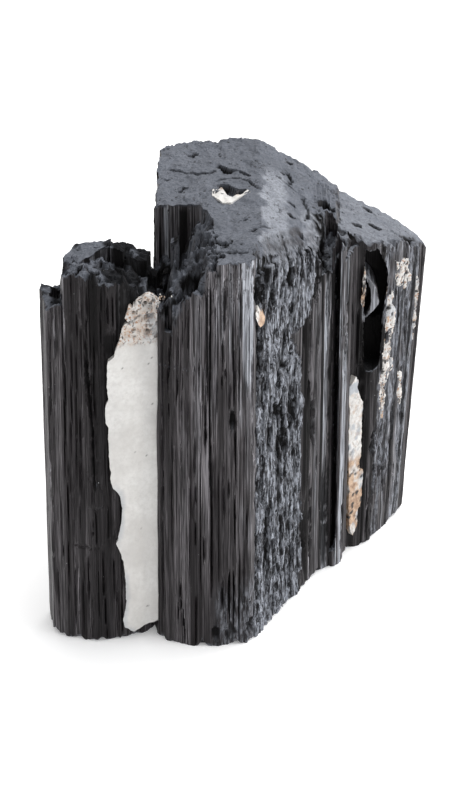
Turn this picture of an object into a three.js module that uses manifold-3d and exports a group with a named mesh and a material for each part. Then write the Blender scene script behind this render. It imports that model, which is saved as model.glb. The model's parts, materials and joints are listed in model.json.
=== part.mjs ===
// Tourmaline crystal specimen: three parallel black columnar crystals grown side by side,
// with white feldspar filling the seams and pockets between them.
// Millimetres, +Z up. The columns stand on their broken lower ends.
import * as THREE from 'three';
import { mergeVertices } from 'three/addons/utils/BufferGeometryUtils.js';
import Module from 'manifold-3d';

// ---------------------------------------------------------------- driving dimensions (mm)
const MAIN_HEIGHT = 67.5;      // flat basal top of the middle crystal
const MAIN_SLOPE = 0.56;       // its pyramid face falls to the right: dz/dx
const MAIN_RIDGE_X = 5.6;      // where that face begins
const LEFT_HEIGHT = 64.8;      // broken top of the left crystal
const LEFT_LEDGE_HEIGHT = 59.2;
const RIGHT_TOP_AT_SEAM = 58.6;  // pyramid face of the right crystal at the seam
const RIGHT_SLOPE = 0.62;
const RIGHT_FAN = 0.056;       // the right crystal fans outwards: dx/dz at its outer edge
const SEAM_X = 18.7;           // where that fan starts
const OUTER_X = 30.6;          // outer edge of the right crystal at the ground
const VALLEY_FLOOR = 53.0;     // floor of the broken notch beside the left crystal
const VEIN_TOP = 62.6;         // top of the large feldspar seam
const GAP = 0.3;               // clearance between neighbouring pieces
const FLUTE = 0.22;            // depth of the growth striations carried in the solids

const TOURMALINE = { color: 0x1b1a1c, roughness: 0.42, metalness: 0.0, flatShading: true };
const FELDSPAR = { color: 0xe2dfda, roughness: 0.72, metalness: 0.0, flatShading: true };
const STAINED = { color: 0xb98f6c, roughness: 0.8, metalness: 0.0, flatShading: true };

const wasm = await Module();
wasm.setup();

// ---------------------------------------------------------------- helpers
function rng(seed) {
  let a = seed >>> 0;
  return () => {
    a = (a + 0x6d2b79f5) >>> 0;
    let t = a;
    t = Math.imul(t ^ (t >>> 15), t | 1);
    t ^= t + Math.imul(t ^ (t >>> 7), t | 61);
    return ((t ^ (t >>> 14)) >>> 0) / 4294967296;
  };
}

function solid(geometry) {
  const g = geometry.clone();
  g.deleteAttribute('normal');
  g.deleteAttribute('uv');
  const m = mergeVertices(g, 1e-4);
  return new wasm.Manifold(new wasm.Mesh({
    numProp: 3,
    vertProperties: new Float32Array(m.attributes.position.array),
    triVerts: new Uint32Array(m.index.array),
  }));
}

function geometryOf(manifold) {
  const mesh = manifold.getMesh();
  const g = new THREE.BufferGeometry();
  g.setAttribute('position', new THREE.BufferAttribute(new Float32Array(mesh.vertProperties), 3));
  g.setIndex(new THREE.BufferAttribute(new Uint32Array(mesh.triVerts), 1));
  g.computeVertexNormals();
  return g;
}

// Adds vertical growth striations to a plan outline: every edge longer than `step` is
// broken into narrow facets that stand alternately in and out.
function fluted(points, step, depth, seed) {
  const r = rng(seed);
  const out = [];
  for (let i = 0; i < points.length; i += 1) {
    const a = points[i];
    const b = points[(i + 1) % points.length];
    const dx = b[0] - a[0];
    const dy = b[1] - a[1];
    const len = Math.hypot(dx, dy);
    out.push([a[0], a[1]]);
    const n = Math.floor(len / step);
    if (n < 2) continue;
    for (let k = 1; k < n; k += 1) {
      const t = (k + (r() - 0.5) * 0.5) / n;
      const d = -depth * r() * (k % 2 ? 1.0 : 0.15);
      out.push([a[0] + dx * t + (dy / len) * d, a[1] + dy * t - (dx / len) * d]);
    }
  }
  return out;
}

// Outline grown outwards by d on every side, corners mitred.
function outset(points, d) {
  let area = 0;
  points.forEach((p, i) => {
    const q = points[(i + 1) % points.length];
    area += p[0] * q[1] - q[0] * p[1];
  });
  const ring = area > 0 ? points : points.slice().reverse();
  if (d === 0) return ring;
  const n = ring.length;
  const normal = (a, b) => {
    const l = Math.hypot(b[0] - a[0], b[1] - a[1]);
    return [(b[1] - a[1]) / l, -(b[0] - a[0]) / l];
  };
  return ring.map((p, i) => {
    const n1 = normal(ring[(i + n - 1) % n], p);
    const n2 = normal(p, ring[(i + 1) % n]);
    const m = [n1[0] + n2[0], n1[1] + n2[1]];
    const l = Math.hypot(m[0], m[1]) || 1;
    const k = d / Math.max(0.4, (m[0] * n1[0] + m[1] * n1[1]) / l);
    return [p[0] + (m[0] / l) * k, p[1] + (m[1] / l) * k];
  });
}

// Upright prism on a plan outline (counter-clockwise).
function prism(points, z0, z1) {
  const shape = new THREE.Shape(points.map(([x, y]) => new THREE.Vector2(x, y)));
  const g = new THREE.ExtrudeGeometry(shape, { depth: z1 - z0, bevelEnabled: false, steps: 1 });
  g.translate(0, 0, z0);
  return solid(g);
}

// Prism on an outline in the X-Z plane, running from y0 back to y1.
function frontPrism(points, y0, y1) {
  const shape = new THREE.Shape(points.map(([x, z]) => new THREE.Vector2(x, z)));
  const g = new THREE.ExtrudeGeometry(shape, { depth: y1 - y0, bevelEnabled: false, steps: 1 });
  g.rotateX(Math.PI / 2);
  g.translate(0, y1, 0);
  return solid(g);
}

// Everything below a broken surface: a gridded block whose top follows height(x, y).
function below(x0, y0, x1, y1, nx, ny, height, floor = -20) {
  const g = new THREE.BoxGeometry(x1 - x0, y1 - y0, 1, nx, ny, 1);
  g.translate((x0 + x1) / 2, (y0 + y1) / 2, 0);
  const p = g.attributes.position;
  for (let i = 0; i < p.count; i += 1) {
    p.setZ(i, p.getZ(i) > 0 ? height(p.getX(i), p.getY(i)) : floor);
  }
  return solid(g);
}

// Repeatable small unevenness of a broken surface.
function rough(x, y, seed, amount) {
  const s = Math.sin(x * 12.9898 + y * 78.233 + seed * 37.719) * 43758.5453;
  return (s - Math.floor(s) - 0.5) * 2 * amount;
}

// The right crystal and what sits on it spread outwards with height, like a slight fan.
function fan(geometry) {
  const p = geometry.attributes.position;
  for (let i = 0; i < p.count; i += 1) {
    const k = Math.max(0, p.getX(i) - SEAM_X) / (OUTER_X - SEAM_X);
    p.setX(i, p.getX(i) + p.getZ(i) * RIGHT_FAN * k);
  }
  geometry.computeVertexNormals();
  return geometry;
}

function mesh(name, manifold, look, shape = (g) => g) {
  const m = new THREE.Mesh(shape(geometryOf(manifold)), new THREE.MeshStandardMaterial(look));
  m.name = name;
  return m;
}

// ---------------------------------------------------------------- feldspar bodies
// Each is also made slightly larger to cut its own bed in the tourmaline.

// Large seam between the left and the middle crystal: a wedge in plan, ragged in front view.
function veinLeft(grow) {
  const plan = prism([
    [-19.4 - grow, -27.8 - grow], [-11.1 + grow, -27.8 - grow], [-11.1 + grow, -15.0 + grow],
    [-13.6 - grow, -15.0 + grow], [-19.4 - grow, -23.2 + grow],
  ], 0.2, 70);
  const front = [
    [-11.0, 3.0], [-12.9, 2.3], [-14.6, 1.5], [-15.2, 1.7], [-16.0, 2.5], [-16.3, 4.2], [-15.9, 5.5], [-15.8, 10.7], [-16.1, 14.8],
    [-16.6, 16.5], [-17.2, 18.2], [-16.8, 19.3], [-16.2, 24.6], [-16.8, 27.5], [-17.5, 28.4], [-17.8, 29.4], [-18.1, 34.6], [-18.0, 38.9],
    [-18.5, 41.7], [-18.1, 45.5], [-18.1, 49.5], [-17.0, 51.3], [-16.1, 54.6], [-15.5, 56.6], [-15.1, 58.6], [-14.1, 60.0], [-13.5, 61.1],
    [-12.0, VEIN_TOP - 0.5], [-11.0, VEIN_TOP - 1.0],
  ];
  const slab = frontPrism(outset(front, grow), -30, -10);
  // front skin of the seam follows the receding face of the left crystal
  const skin = prism([
    [-20.4, -26.75 - grow], [-17.6, -26.3 - grow], [-14.0, -25.5 - grow], [-12.6, -24.9 - grow], [-10.2, -24.4 - grow], [-10.2, -8], [-20.4, -8],
  ], 0, 70);
  // its upper end is only a thin skin: the tourmaline closes in behind it
  const upper = frontPrism([[-22, 55.6 + grow], [-8, 55.6 + grow], [-8, 75], [-22, 75]], -22.8 + grow, -8);
  return plan.intersect(slab).intersect(skin).subtract(upper);
}

// A plate let into an upright face: its outline is given along the face and up it.
function plate(points, grow, start, angle, inward, proud) {
  const shape = new THREE.Shape(outset(points, grow).map(([t, z]) => new THREE.Vector2(t, z)));
  const depth = inward + proud + grow + (grow > 0 ? 2 : 0);
  const g = new THREE.ExtrudeGeometry(shape, { depth, bevelEnabled: false, steps: 1 });
  g.rotateX(Math.PI / 2);
  g.translate(0, inward + grow, 0);
  g.rotateZ(angle);
  g.translate(start[0], start[1], 0);
  return solid(g);
}

// Narrow iron-stained seam on the right crystal.
const INNER_FACE_START = [19.6, 1.0];
const INNER_FACE_ANGLE = Math.atan2(4.2, 4.9);
const VEIN_RIGHT = [
  [1.8, 33.3], [1.2, 32.2], [0.35, 31.2], [0.8, 23.4], [1.0, 17.4], [1.3, 7.5], [1.7, 4.1], [2.4, 2.8], [3.4, 4.7],
  [3.3, 7.6], [3.8, 7.9], [4.15, 12.4], [4.1, 15.0], [3.3, 15.4], [3.2, 16.7], [3.5, 18.5], [3.3, 25.3], [3.5, 28.0], [2.9, 28.9], [2.3, 30.9], [2.4, 32.4],
];
const veinRight = (grow) => plate(VEIN_RIGHT, grow, INNER_FACE_START, INNER_FACE_ANGLE, 2.0, 0.15);

// White crescent in the pocket of the flat top; the open hollow lies behind it.
function pocketTop(grow) {
  const ring = [
    [-2.0, -1.0], [-2.0, -2.8], [-1.3, -4.1], [-0.2, -5.1], [0.9, -5.2], [1.8, -3.7], [3.0, -2.4], [4.1, -0.8], [3.6, 0.0],
    [2.1, -1.6], [1.1, -2.4], [0.3, -2.0], [0.0, -0.8], [-0.6, 0.4], [-1.4, 0.2],
  ];
  const grown = outset(ring, grow);
  return prism(grown, MAIN_HEIGHT - 3.4 - grow, MAIN_HEIGHT - 0.4 + (grow > 0 ? 6 : 0));
}
const POCKET_HOLLOW = [[-0.9, 0.7], [-0.3, -0.6], [0.0, -1.7], [1.1, -2.1], [2.2, -1.3], [3.4, 0.2], [2.8, 1.2], [0.4, 2.3]];

// Thin white crust plates let into the outer face of the right crystal.
const OUTER_FACE_START = [24.2, 5.0];
const OUTER_FACE_END = [30.6, 16.2];
const OUTER_FACE_ANGLE = Math.atan2(OUTER_FACE_END[1] - OUTER_FACE_START[1], OUTER_FACE_END[0] - OUTER_FACE_START[0]);
const crust = (points, grow) => plate(points, grow, OUTER_FACE_START, OUTER_FACE_ANGLE, 1.2, 0.25);
const CRUST_UPPER = [[4.5, 50.8], [4.3, 47.6], [5.7, 45.5], [7.7, 44.5], [9.1, 45.2], [9.1, 47.4], [8.3, 49.6], [6.4, 50.9]];
const CRUST_MIDDLE = [
  [2.9, 46.9], [2.7, 42.8], [2.9, 38.1], [2.0, 35.0], [2.1, 31.6], [1.9, 27.2], [2.4, 22.6], [3.5, 22.1], [3.1, 25.1], [3.9, 26.7],
  [3.9, 29.9], [5.4, 30.7], [5.4, 32.7], [4.5, 35.0], [5.3, 38.7], [5.3, 40.7], [4.4, 43.6], [3.9, 46.4],
];
const CRUST_EDGE_UPPER = [[10.7, 46.6], [11.2, 41.0], [11.0, 36.3], [11.5, 33.2], [12.1, 35.8], [11.9, 42.1], [11.8, 44.5], [11.5, 46.8]];
const CRUST_EDGE_LOWER = [[7.3, 29.6], [7.9, 26.3], [8.1, 22.8], [9.1, 22.0], [9.3, 25.0], [9.2, 28.4]];


// Brown iron-stained splinter standing in the cavity of the right crystal.
function splinter(grow) {
  return prism(outset([[21.6, 2.4], [22.3, 2.9], [22.2, 5.2], [21.5, 5.0]], grow), 45.6 - grow, 52.6 + (grow > 0 ? 8 : 0));
}

// ---------------------------------------------------------------- middle crystal
const MAIN_OUTLINE = [
  [-10.75, -23.2], [-10.3, -24.9], [-8.2, -26.7], [-6.0, -27.8], [-3.7, -28.0], [1.9, -27.7], [3.9, -27.0], [5.1, -24.9],
  [15.3, -5.4], [17.35, -2.9], [18.3, 0.4], [18.7, 6.0], [18.9, 19.2], [16.0, 20.6], [2.0, 21.0], [-6.5, 20.4], [-10.4, 17.6],
  [-11.6, 10.0], [-11.4, -3.6], [-10.6, -12.0],
];
// Small flake caught in the corner between the two front faces, flush with them.
function flakeFront(grow) {
  const outline = [[4.5, 58.2], [4.8, 56.8], [5.4, 55.3], [6.1, 55.5], [6.3, 56.4], [5.4, 58.4], [4.9, 59.5], [4.5, 59.3]];
  const body = frontPrism(outset(outline, grow), -28, -22.0 + grow);
  return grow > 0 ? body : body.intersect(prism(outset(MAIN_OUTLINE, 0.15), 50, 65));
}

const mainTop = (x, y) => {
  let z = MAIN_HEIGHT - Math.max(0, x - MAIN_RIDGE_X) * MAIN_SLOPE;
  // the edge above the right-hand face is crumbled away
  const across = (x - 5.1) * 0.885 - (y + 24.9) * 0.465;   // 0 on the face, negative inside
  if (x > 5) z -= Math.max(0, 3.2 + across) * 0.75;
  return z + rough(x, y, 3, 0.35);
};
let main = prism(fluted(MAIN_OUTLINE, 1.9, FLUTE * 1.6, 11), 0, 75)
  .intersect(below(-14, -30, 22, 23, 15, 22, mainTop));

// deep notch between the flat top and the left crystal
main = main.subtract(prism(fluted([
  [-16, -21.8], [-8.6, -21.8], [-6.0, -20.0], [-5.4, -14.4], [-6.3, -7.4], [-8.2, -5.4], [-16, -3.8],
], 1.7, -FLUTE * 2, 12), VALLEY_FLOOR, 80));
// shallower ledges along the notch
main = main.subtract(prism([[-9, -22.6], [-2.2, -22.6], [-2.0, -16.9], [-3.6, -12.3], [-5.8, -6.3], [-9, -6.3]], 65.7, 80));
main = main.subtract(prism([[-9, -24.9], [-2.9, -24.9], [-2.9, -18.4], [-9, -18.4]], 64.8, 80));
// front-left strips stand at stepped heights
main = main.subtract(prism([[-12, -30], [-7.7, -30], [-7.7, -21], [-12, -21]], 60.6, 80));
main = main.subtract(prism([[-9, -30], [-4.0, -30], [-4.4, -25.5], [-9, -25.4]], 61.6, 80));
main = main.subtract(prism([[-5, -30], [-1.9, -30], [-1.9, -26.2], [-5, -25.6]], 64.4, 80));
main = main.subtract(prism([[-9.2, -29], [-8.0, -29], [-8.0, -24.0], [-9.2, -24.0]], 55.2, 80));
// thin broken slab on the left flank at the back
main = main.subtract(prism([[-14, 7.0], [-10.75, 7.0], [-10.5, 22], [-14, 22]], 60.4, 80));
main = main.subtract(prism([[-14, -4.2], [-10.9, -4.2], [-10.9, 7.2], [-14, 7.2]], 57.0, 80));
// open pocket where the middle and the right crystal part at the top
main = main.subtract(prism(fluted([[15.2, -3.6], [22, -6], [22, 11.6], [16.9, 11.8], [16.2, 4.0]], 1.6, FLUTE, 13), 54.6, 80));
// hollow in the sloping face behind it
main = main.subtract(prism([[13.9, 8.6], [16.2, 8.2], [16.6, 12.6], [14.2, 13.0]], 57.0, 80));
// deep parallel grooves of the front face
for (const [x, w, d] of [[-9.1, 0.5, 0.8], [-7.3, 0.45, 0.7], [-2.8, 0.6, 0.9], [1.75, 0.55, 0.9]]) {
  main = main.subtract(prism([[x - w / 2, -30], [x + w / 2, -30], [x + w / 2.6, -27.75 + d], [x - w / 2.6, -27.75 + d]], -1, 80));
}
// deep grooves of the right-hand face
for (const [t, w, d, z0, z1] of [[6.6, 0.8, 1.1, -1, 34], [12.4, 0.7, 1.0, -1, 80], [15.4, 0.8, 1.2, -1, 80], [18.6, 1.0, 1.3, -1, 80]]) {
  const c = Math.cos(1.0889);
  const s = Math.sin(1.0889);
  const at = (u, v) => [5.1 + u * c - v * s, -24.9 + u * s + v * c];
  main = main.subtract(prism([at(t - w / 2, -2), at(t + w / 2, -2), at(t + w / 2.6, d), at(t - w / 2.6, d)], z0, z1));
}
// chips out of the lower edge
main = main.subtract(frontPrism([[-2.3, -1], [-0.7, -1], [-0.8, 2.2], [-2.1, 2.4]], -30, -26.6));
main = main.subtract(prism([[3.9, -29], [8.6, -29], [16.8, -4.9], [15.2, -4.2], [5.4, -22.6]], -1, 1.3));
main = main.subtract(prism([[-12, -26], [-9.9, -27.2], [-9.6, -24.3], [-12, -23]], -1, 1.0));
// feldspar beds, and the hollow behind the white crescent
main = main.subtract(prism(POCKET_HOLLOW, MAIN_HEIGHT - 2.0, 80));
main = main.subtract(veinLeft(GAP)).subtract(pocketTop(GAP)).subtract(flakeFront(GAP));

// ---------------------------------------------------------------- left crystal
const LEFT_OUTLINE = [
  [-28.55, -16.4], [-28.7, -18.6], [-27.6, -23.6], [-25.4, -25.2], [-23.0, -25.5], [-20.3, -26.75], [-17.6, -25.7],
  [-14.4, -25.0], [-12.2, -23.3], [-11.4, -21.6], [-11.3, -12.6], [-14.0, -11.6], [-18.3, -11.6], [-21.8, -13.2], [-24.0, -15.6],
];
let left = prism(fluted(LEFT_OUTLINE, 1.7, FLUTE * 1.3, 21), 0, 72)
  .intersect(below(-31, -30, -9, -9, 9, 8, (x, y) => LEFT_HEIGHT - 0.33 * Math.max(0, x + 21) - 0.1 * (y + 26) + rough(x, y, 5, 0.3)));
// broken slab at the outer edge
left = left.subtract(prism([[-32, -30], [-25.1, -30], [-24.8, -20], [-24.2, -14], [-32, -14]], LEFT_LEDGE_HEIGHT, 80));
left = left.subtract(prism([[-27.0, -21.4], [-25.3, -21.4], [-25.3, -18.2], [-27.0, -18.2]], 56.6, 80));
// the side towards the notch steps down
left = left.subtract(prism(fluted([[-13.6, -27], [-9, -27], [-9, -15.2], [-12.6, -15.2], [-13.4, -18.4]], 1.5, -FLUTE, 22), 58.0, 80));
// sloping shard at the back of the top
// and the broken blocks beside it
left = left.add(prism([[-15.6, -16.4], [-12.0, -16.0], [-11.6, -12.8], [-15.2, -11.8]], 55, 63.4));
const shard = frontPrism([[-23.6, 60.0], [-17.9, 60.0], [-18.0, 64.4], [-20.4, 64.1], [-23.4, 62.8]], -14.6, -12.2);
left = left.add(shard);
// low broken shoulder behind, leaning on the flank of the middle crystal
left = left.add(prism(fluted([[-21.5, -15.2], [-11.75, -14.5], [-12.1, -4.5], [-14.6, -2.6], [-18.6, -4.4]], 1.8, FLUTE, 23), 0, 49.5)
  .intersect(below(-24, -18, -9, 0, 6, 6, (x, y) => 47.5 + 0.25 * (y + 10) * -1 + rough(x, y, 6, 0.7))));
// grooves of the front faces, and the chip with its step
for (const [x, w, d, z0, z1] of [[-22.9, 0.5, 0.7, -1, 80], [-19.3, 0.6, 0.8, -1, 80], [-21.9, 1.6, 0.9, 25, 46]]) {
  left = left.subtract(prism([[x - w / 2, -30], [x + w / 2, -30], [x + w / 2.6, -25.9 + d], [x - w / 2.6, -25.9 + d]], z0, z1));
}
left = left.subtract(prism([[-29.5, -24.6], [-27.3, -26], [-26.6, -23.9], [-29.5, -16]], -1, 0.9));
left = left.subtract(veinLeft(GAP));
left = left.subtract(prism([[-11.5, -30], [-8, -30], [-8, -9], [-11.5, -9]], -1, 80));

// ---------------------------------------------------------------- right crystal
const RIGHT_OUTLINE = [
  [17.75, -3.1], [18.5, -3.3], [19.6, -1.6], [20.5, 2.6], [22.6, 3.6], [24.2, 5.0], [30.6, 16.2], [30.7, 17.2], [29.6, 18.2],
  [26.4, 18.9], [19.35, 19.4], [19.1, 5.9], [18.7, 0.2],
];
const rightTop = (x, y) => RIGHT_TOP_AT_SEAM - (x - 19.3) * RIGHT_SLOPE + rough(x, y, 9, 0.12);
let right = prism(fluted(RIGHT_OUTLINE, 1.6, FLUTE * 1.3, 31), 0, 70)
  .intersect(below(14, -8, 40, 24, 9, 11, rightTop));
// open cavity under the rim of the top face
right = right.subtract(prism(fluted([[22.9, -2], [26.4, 2.6], [26.0, 8.6], [23.4, 8.4], [22.3, 5.0]], 1.4, -0.15, 32), 40.5, 55));
right = right.subtract(prism([[21.9, -2], [24.6, 2.6], [24.0, 6.8], [22.6, 6.4]], 33.2, 41));
right = right.subtract(prism([[19.0, -6], [21.4, -6], [21.8, 2.6], [19.6, 3.4]], 56.4, 80));
// grooves
for (const [x, y, w, d] of [[19.95, -0.4, 0.6, 0.9], [26.0, 8.4, 0.6, 0.9], [28.6, 13.0, 0.6, 0.9]]) {
  const c = Math.cos(OUTER_FACE_ANGLE);
  const s = Math.sin(OUTER_FACE_ANGLE);
  const at = (u, v) => [x + u * c - v * s, y + u * s + v * c];
  right = right.subtract(prism([at(-w / 2, -3), at(w / 2, -3), at(w / 2.6, d), at(-w / 2.6, d)], -1, 47));
}
right = right.subtract(veinRight(GAP)).subtract(splinter(GAP));
for (const c of [CRUST_UPPER, CRUST_MIDDLE, CRUST_EDGE_UPPER, CRUST_EDGE_LOWER]) right = right.subtract(crust(c, GAP));
right = right.subtract(prism([[20.2, 1], [25.4, 3], [31, 12], [33, 22], [30.2, 19], [27, 11], [23.4, 6.2], [20.4, 4.2]], -1, 0.7));
// keep clear of the middle crystal all along the seam
const seam = prism([[10, -8], [17.6, -8], [17.7, -3], [18.63, 0.3], [19.03, 6.0], [19.23, 21.5], [10, 21.5]], -1, 80);
right = right.subtract(seam);
const mainSide = prism([[17.45, -8], [24, -8], [24, 22], [18.93, 22], [18.73, 6.0], [18.33, 0.35], [17.4, -2.9]], -1, 80);
main = main.subtract(mainSide);

// ---------------------------------------------------------------- assembly
const group = new THREE.Group();
group.name = 'tourmaline_crystal';
const cut = new THREE.Group();
group.add(cut);
cut.add(mesh('tourmaline_main', main, TOURMALINE));
cut.add(mesh('tourmaline_left', left, TOURMALINE));
cut.add(mesh('tourmaline_right', right, TOURMALINE, fan));
cut.add(mesh('feldspar_vein_left', veinLeft(0), FELDSPAR));
cut.add(mesh('feldspar_vein_right', veinRight(0), FELDSPAR, fan));
cut.add(mesh('feldspar_pocket_top', pocketTop(0), FELDSPAR));
cut.add(mesh('feldspar_crust_upper', crust(CRUST_UPPER, 0), FELDSPAR, fan));
cut.add(mesh('feldspar_crust_middle', crust(CRUST_MIDDLE, 0), FELDSPAR, fan));
cut.add(mesh('feldspar_crust_edge_upper', crust(CRUST_EDGE_UPPER, 0), FELDSPAR, fan));
cut.add(mesh('feldspar_crust_edge_lower', crust(CRUST_EDGE_LOWER, 0), FELDSPAR, fan));
cut.add(mesh('feldspar_flake_front', flakeFront(0), FELDSPAR));
cut.add(mesh('stained_splinter', splinter(0), STAINED, fan));

// origin at the middle of the footprint, on the ground
const box = new THREE.Box3().setFromObject(group);
const centre = box.getCenter(new THREE.Vector3());
cut.position.set(-centre.x, -centre.y, -box.min.z);

export default group;
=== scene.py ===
"""Black tourmaline specimen with feldspar seams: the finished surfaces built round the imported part.
Lengths are millimetres while shapes are made; every finished mesh goes to metres in the part's frame."""
import json
import math

import bpy
import numpy as np
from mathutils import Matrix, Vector

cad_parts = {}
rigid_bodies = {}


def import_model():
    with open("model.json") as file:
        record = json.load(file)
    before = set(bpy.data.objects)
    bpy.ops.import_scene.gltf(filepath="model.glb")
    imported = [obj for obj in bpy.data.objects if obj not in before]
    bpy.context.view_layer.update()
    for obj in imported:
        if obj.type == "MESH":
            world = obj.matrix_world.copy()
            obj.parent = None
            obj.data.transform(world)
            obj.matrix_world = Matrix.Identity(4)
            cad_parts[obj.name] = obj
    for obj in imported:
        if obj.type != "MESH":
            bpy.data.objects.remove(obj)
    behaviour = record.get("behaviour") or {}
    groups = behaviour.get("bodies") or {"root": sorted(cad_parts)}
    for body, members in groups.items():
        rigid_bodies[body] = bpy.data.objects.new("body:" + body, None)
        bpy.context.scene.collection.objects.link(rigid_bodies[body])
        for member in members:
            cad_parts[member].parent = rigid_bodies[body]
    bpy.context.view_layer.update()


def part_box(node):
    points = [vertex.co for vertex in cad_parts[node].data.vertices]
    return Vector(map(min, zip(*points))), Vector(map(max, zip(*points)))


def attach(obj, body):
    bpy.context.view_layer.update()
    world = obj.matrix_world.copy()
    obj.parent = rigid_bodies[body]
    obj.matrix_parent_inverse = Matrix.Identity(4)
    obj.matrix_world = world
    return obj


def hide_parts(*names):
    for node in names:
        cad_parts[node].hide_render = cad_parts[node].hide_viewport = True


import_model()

scene = bpy.context.scene

# Offset between the drawing frame (mm) used below and the part's frame.
CX = -28.7 - 1000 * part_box("tourmaline_left")[0].x
CY = -28.0 - 1000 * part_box("tourmaline_main")[0].y

# ------------------------------------------------------------------ numbers that repeat exactly


def hsh(i, j, seed):
    n = (np.asarray(i, np.int64) * 374761393 + np.asarray(j, np.int64) * 668265263 + int(seed) * 974634777) & 0xFFFFFFFF
    n = ((n ^ (n >> 13)) * 1274126177) & 0xFFFFFFFF
    n = ((n ^ (n >> 15)) * 2246822519) & 0xFFFFFFFF
    return ((n ^ (n >> 16)) & 0xFFFFFF) / float(0xFFFFFF)


def vnoise(x, y, seed):
    """Smooth value noise, -1 to 1."""
    x, y = np.broadcast_arrays(np.asarray(x, float), np.asarray(y, float))
    i, j = np.floor(x).astype(np.int64), np.floor(y).astype(np.int64)
    u, v = x - i, y - j
    u, v = u * u * (3 - 2 * u), v * v * (3 - 2 * v)
    a = hsh(i, j, seed) * (1 - u) + hsh(i + 1, j, seed) * u
    b = hsh(i, j + 1, seed) * (1 - u) + hsh(i + 1, j + 1, seed) * u
    return (a * (1 - v) + b * v) * 2 - 1


def fbm(x, y, seed, octaves=3, gain=0.5):
    out, amp, tot = 0.0, 1.0, 0.0
    for k in range(octaves):
        out = out + amp * vnoise(x * 2.03**k + 17.1 * k, y * 2.03**k - 9.7 * k, seed + 31 * k)
        tot += amp
        amp *= gain
    return out / tot


def sstep(a, b, x):
    t = np.clip((x - a) / (b - a), 0, 1)
    return t * t * (3 - 2 * t)


def knots(seed, lo, hi, total):
    r = np.random.RandomState(seed)
    k = np.concatenate([[0.0], np.cumsum(r.uniform(lo, hi, int(total / lo) + 4))])
    return k[: np.searchsorted(k, total) + 2], r


# ------------------------------------------------------------------ relief of a striated face
# s runs round the outline, z up the crystal; a positive value cuts inwards.


def facets(S, Z, seed, lo, hi, amp, total, drift=0.5):
    """Flat growth facets standing at slightly different angles, edge to edge."""
    k, r = knots(seed, lo, hi, total)
    a, b, c = (r.uniform(-1, 1, len(k)) for _ in range(3))
    f0, f1, f2 = (np.interp(S, k, q) for q in (a, a * (1 - drift) + b * drift, a * (1 - drift) + c * drift))
    t = np.clip(Z / 70.0, 0, 1)
    return amp * np.where(t < 0.5, f0 * (1 - 2 * t) + f1 * 2 * t, f1 * (2 - 2 * t) + f2 * (2 * t - 1))


def strips(S, Z, seed, lo, hi, depth, total, ragged=1.2):
    """Flat strips at stepped depths; each ends up or down the face at a ragged break."""
    k, r = knots(seed, lo, hi, total)
    n = len(k)
    i = np.clip(np.searchsorted(k, S + 0.06 * vnoise(S * 0 + 3, Z * 0.4, seed + 5), side="right") - 1, 0, n - 1)
    base, alt = r.uniform(0, 1, n) ** 2, r.uniform(0, 1, n) ** 2
    brk = r.uniform(-45, 120, n)
    edge = brk[i] + ragged * vnoise(S * 3.1, Z * 0.2, seed + 7)
    t = sstep(-0.18, 0.18, Z - edge)
    return depth * (base[i] * (1 - t) + alt[i] * t)


def scored(S, Z, seed, gap, width, depth, total, zmin=6, zmax=40):
    """Narrow parallel grooves of random length."""
    r = np.random.RandomState(seed)
    out = np.zeros_like(S)
    s = r.uniform(0, gap)
    while s < total:
        w, d = r.uniform(0.6, 1.3) * width, r.uniform(0.4, 1.2) * depth
        L = r.uniform(zmin, zmax)
        z0 = r.uniform(-8, 68 - 0.4 * L)
        c = s + r.uniform(-0.25, 0.25) * (Z - z0) / 40
        fade = sstep(z0, z0 + 7, Z) * (1 - sstep(z0 + L - 7, z0 + L, Z))
        m = np.clip(1.5 * (1 - np.abs(S - c) / (w * 0.65 * (0.35 + 0.65 * fade))), 0, 1)
        out = np.maximum(out, m * d * fade)
        s += r.uniform(0.5, 1.5) * gap
    return out


def lines(S, Z, seed, gap, depth, total, zmin=18, zmax=90):
    """Fine long striations, each fading out slowly at its ends."""
    r = np.random.RandomState(seed)
    out = np.zeros_like(S)
    s = r.uniform(0, gap)
    while s < total:
        w, d = r.uniform(0.10, 0.26), r.uniform(0.25, 1.3) * depth
        L = r.uniform(zmin, zmax)
        z0 = r.uniform(-20, 68 - 0.5 * L)
        c = s + r.uniform(-0.2, 0.2) * (Z - z0) / 50 + 0.03 * vnoise(Z * 0.35, s, seed)
        near = np.abs(S - c) < w
        if near.any():
            m = np.where(near, np.clip(1.6 * (1 - np.abs(S - c) / w), 0, 1), 0)
            fade = sstep(z0, z0 + 6, Z) * (1 - sstep(z0 + L - 6, z0 + L, Z)) * (0.75 + 0.25 * vnoise(Z * 0.6, s * 3, seed + 1))
            out = np.maximum(out, m * d * fade)
        s += r.uniform(0.4, 1.6) * gap
    return out


def placed(S, Z, table, seed, wander=0.05):
    """Grooves (and ridges, with a negative depth) at given places: (width, depth, [(s, z), ...])."""
    cut, lift = np.zeros_like(S), np.zeros_like(S)
    for q, (w, d, pts) in enumerate(table):
        p = sorted(pts, key=lambda a: a[1])
        zs, ss = [a[1] for a in p], [a[0] for a in p]
        c = np.interp(Z, zs, ss) + wander * vnoise(Z * 0.5 + q, q + 0.5, seed + q)
        w = w * (0.8 + 0.45 * vnoise(Z * 0.55, q + 0.3, seed + 2 * q) + 0.3 * vnoise(Z * 1.9, q + 0.3, seed + 2 * q))
        w = w * (0.72 if np.ndim(w) and np.mean(w) < 0.5 else 1.0)
        end = min(8.0, 0.45 * max(1.0, zs[-1] - zs[0]))
        win = np.clip((Z - zs[0] + end * 0.4) / end, 0, 1) * np.clip((zs[-1] - Z + end * 0.4) / end, 0, 1)
        m = np.clip(1.7 * (1 - np.abs(S - c) / (np.maximum(w, 0.2) * 0.68 * (0.4 + 0.6 * win))), 0, 1) * win
        if d > 0:
            cut = np.maximum(cut, m * d)
        else:
            lift = np.maximum(lift, m * -d)
    return cut, lift


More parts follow.
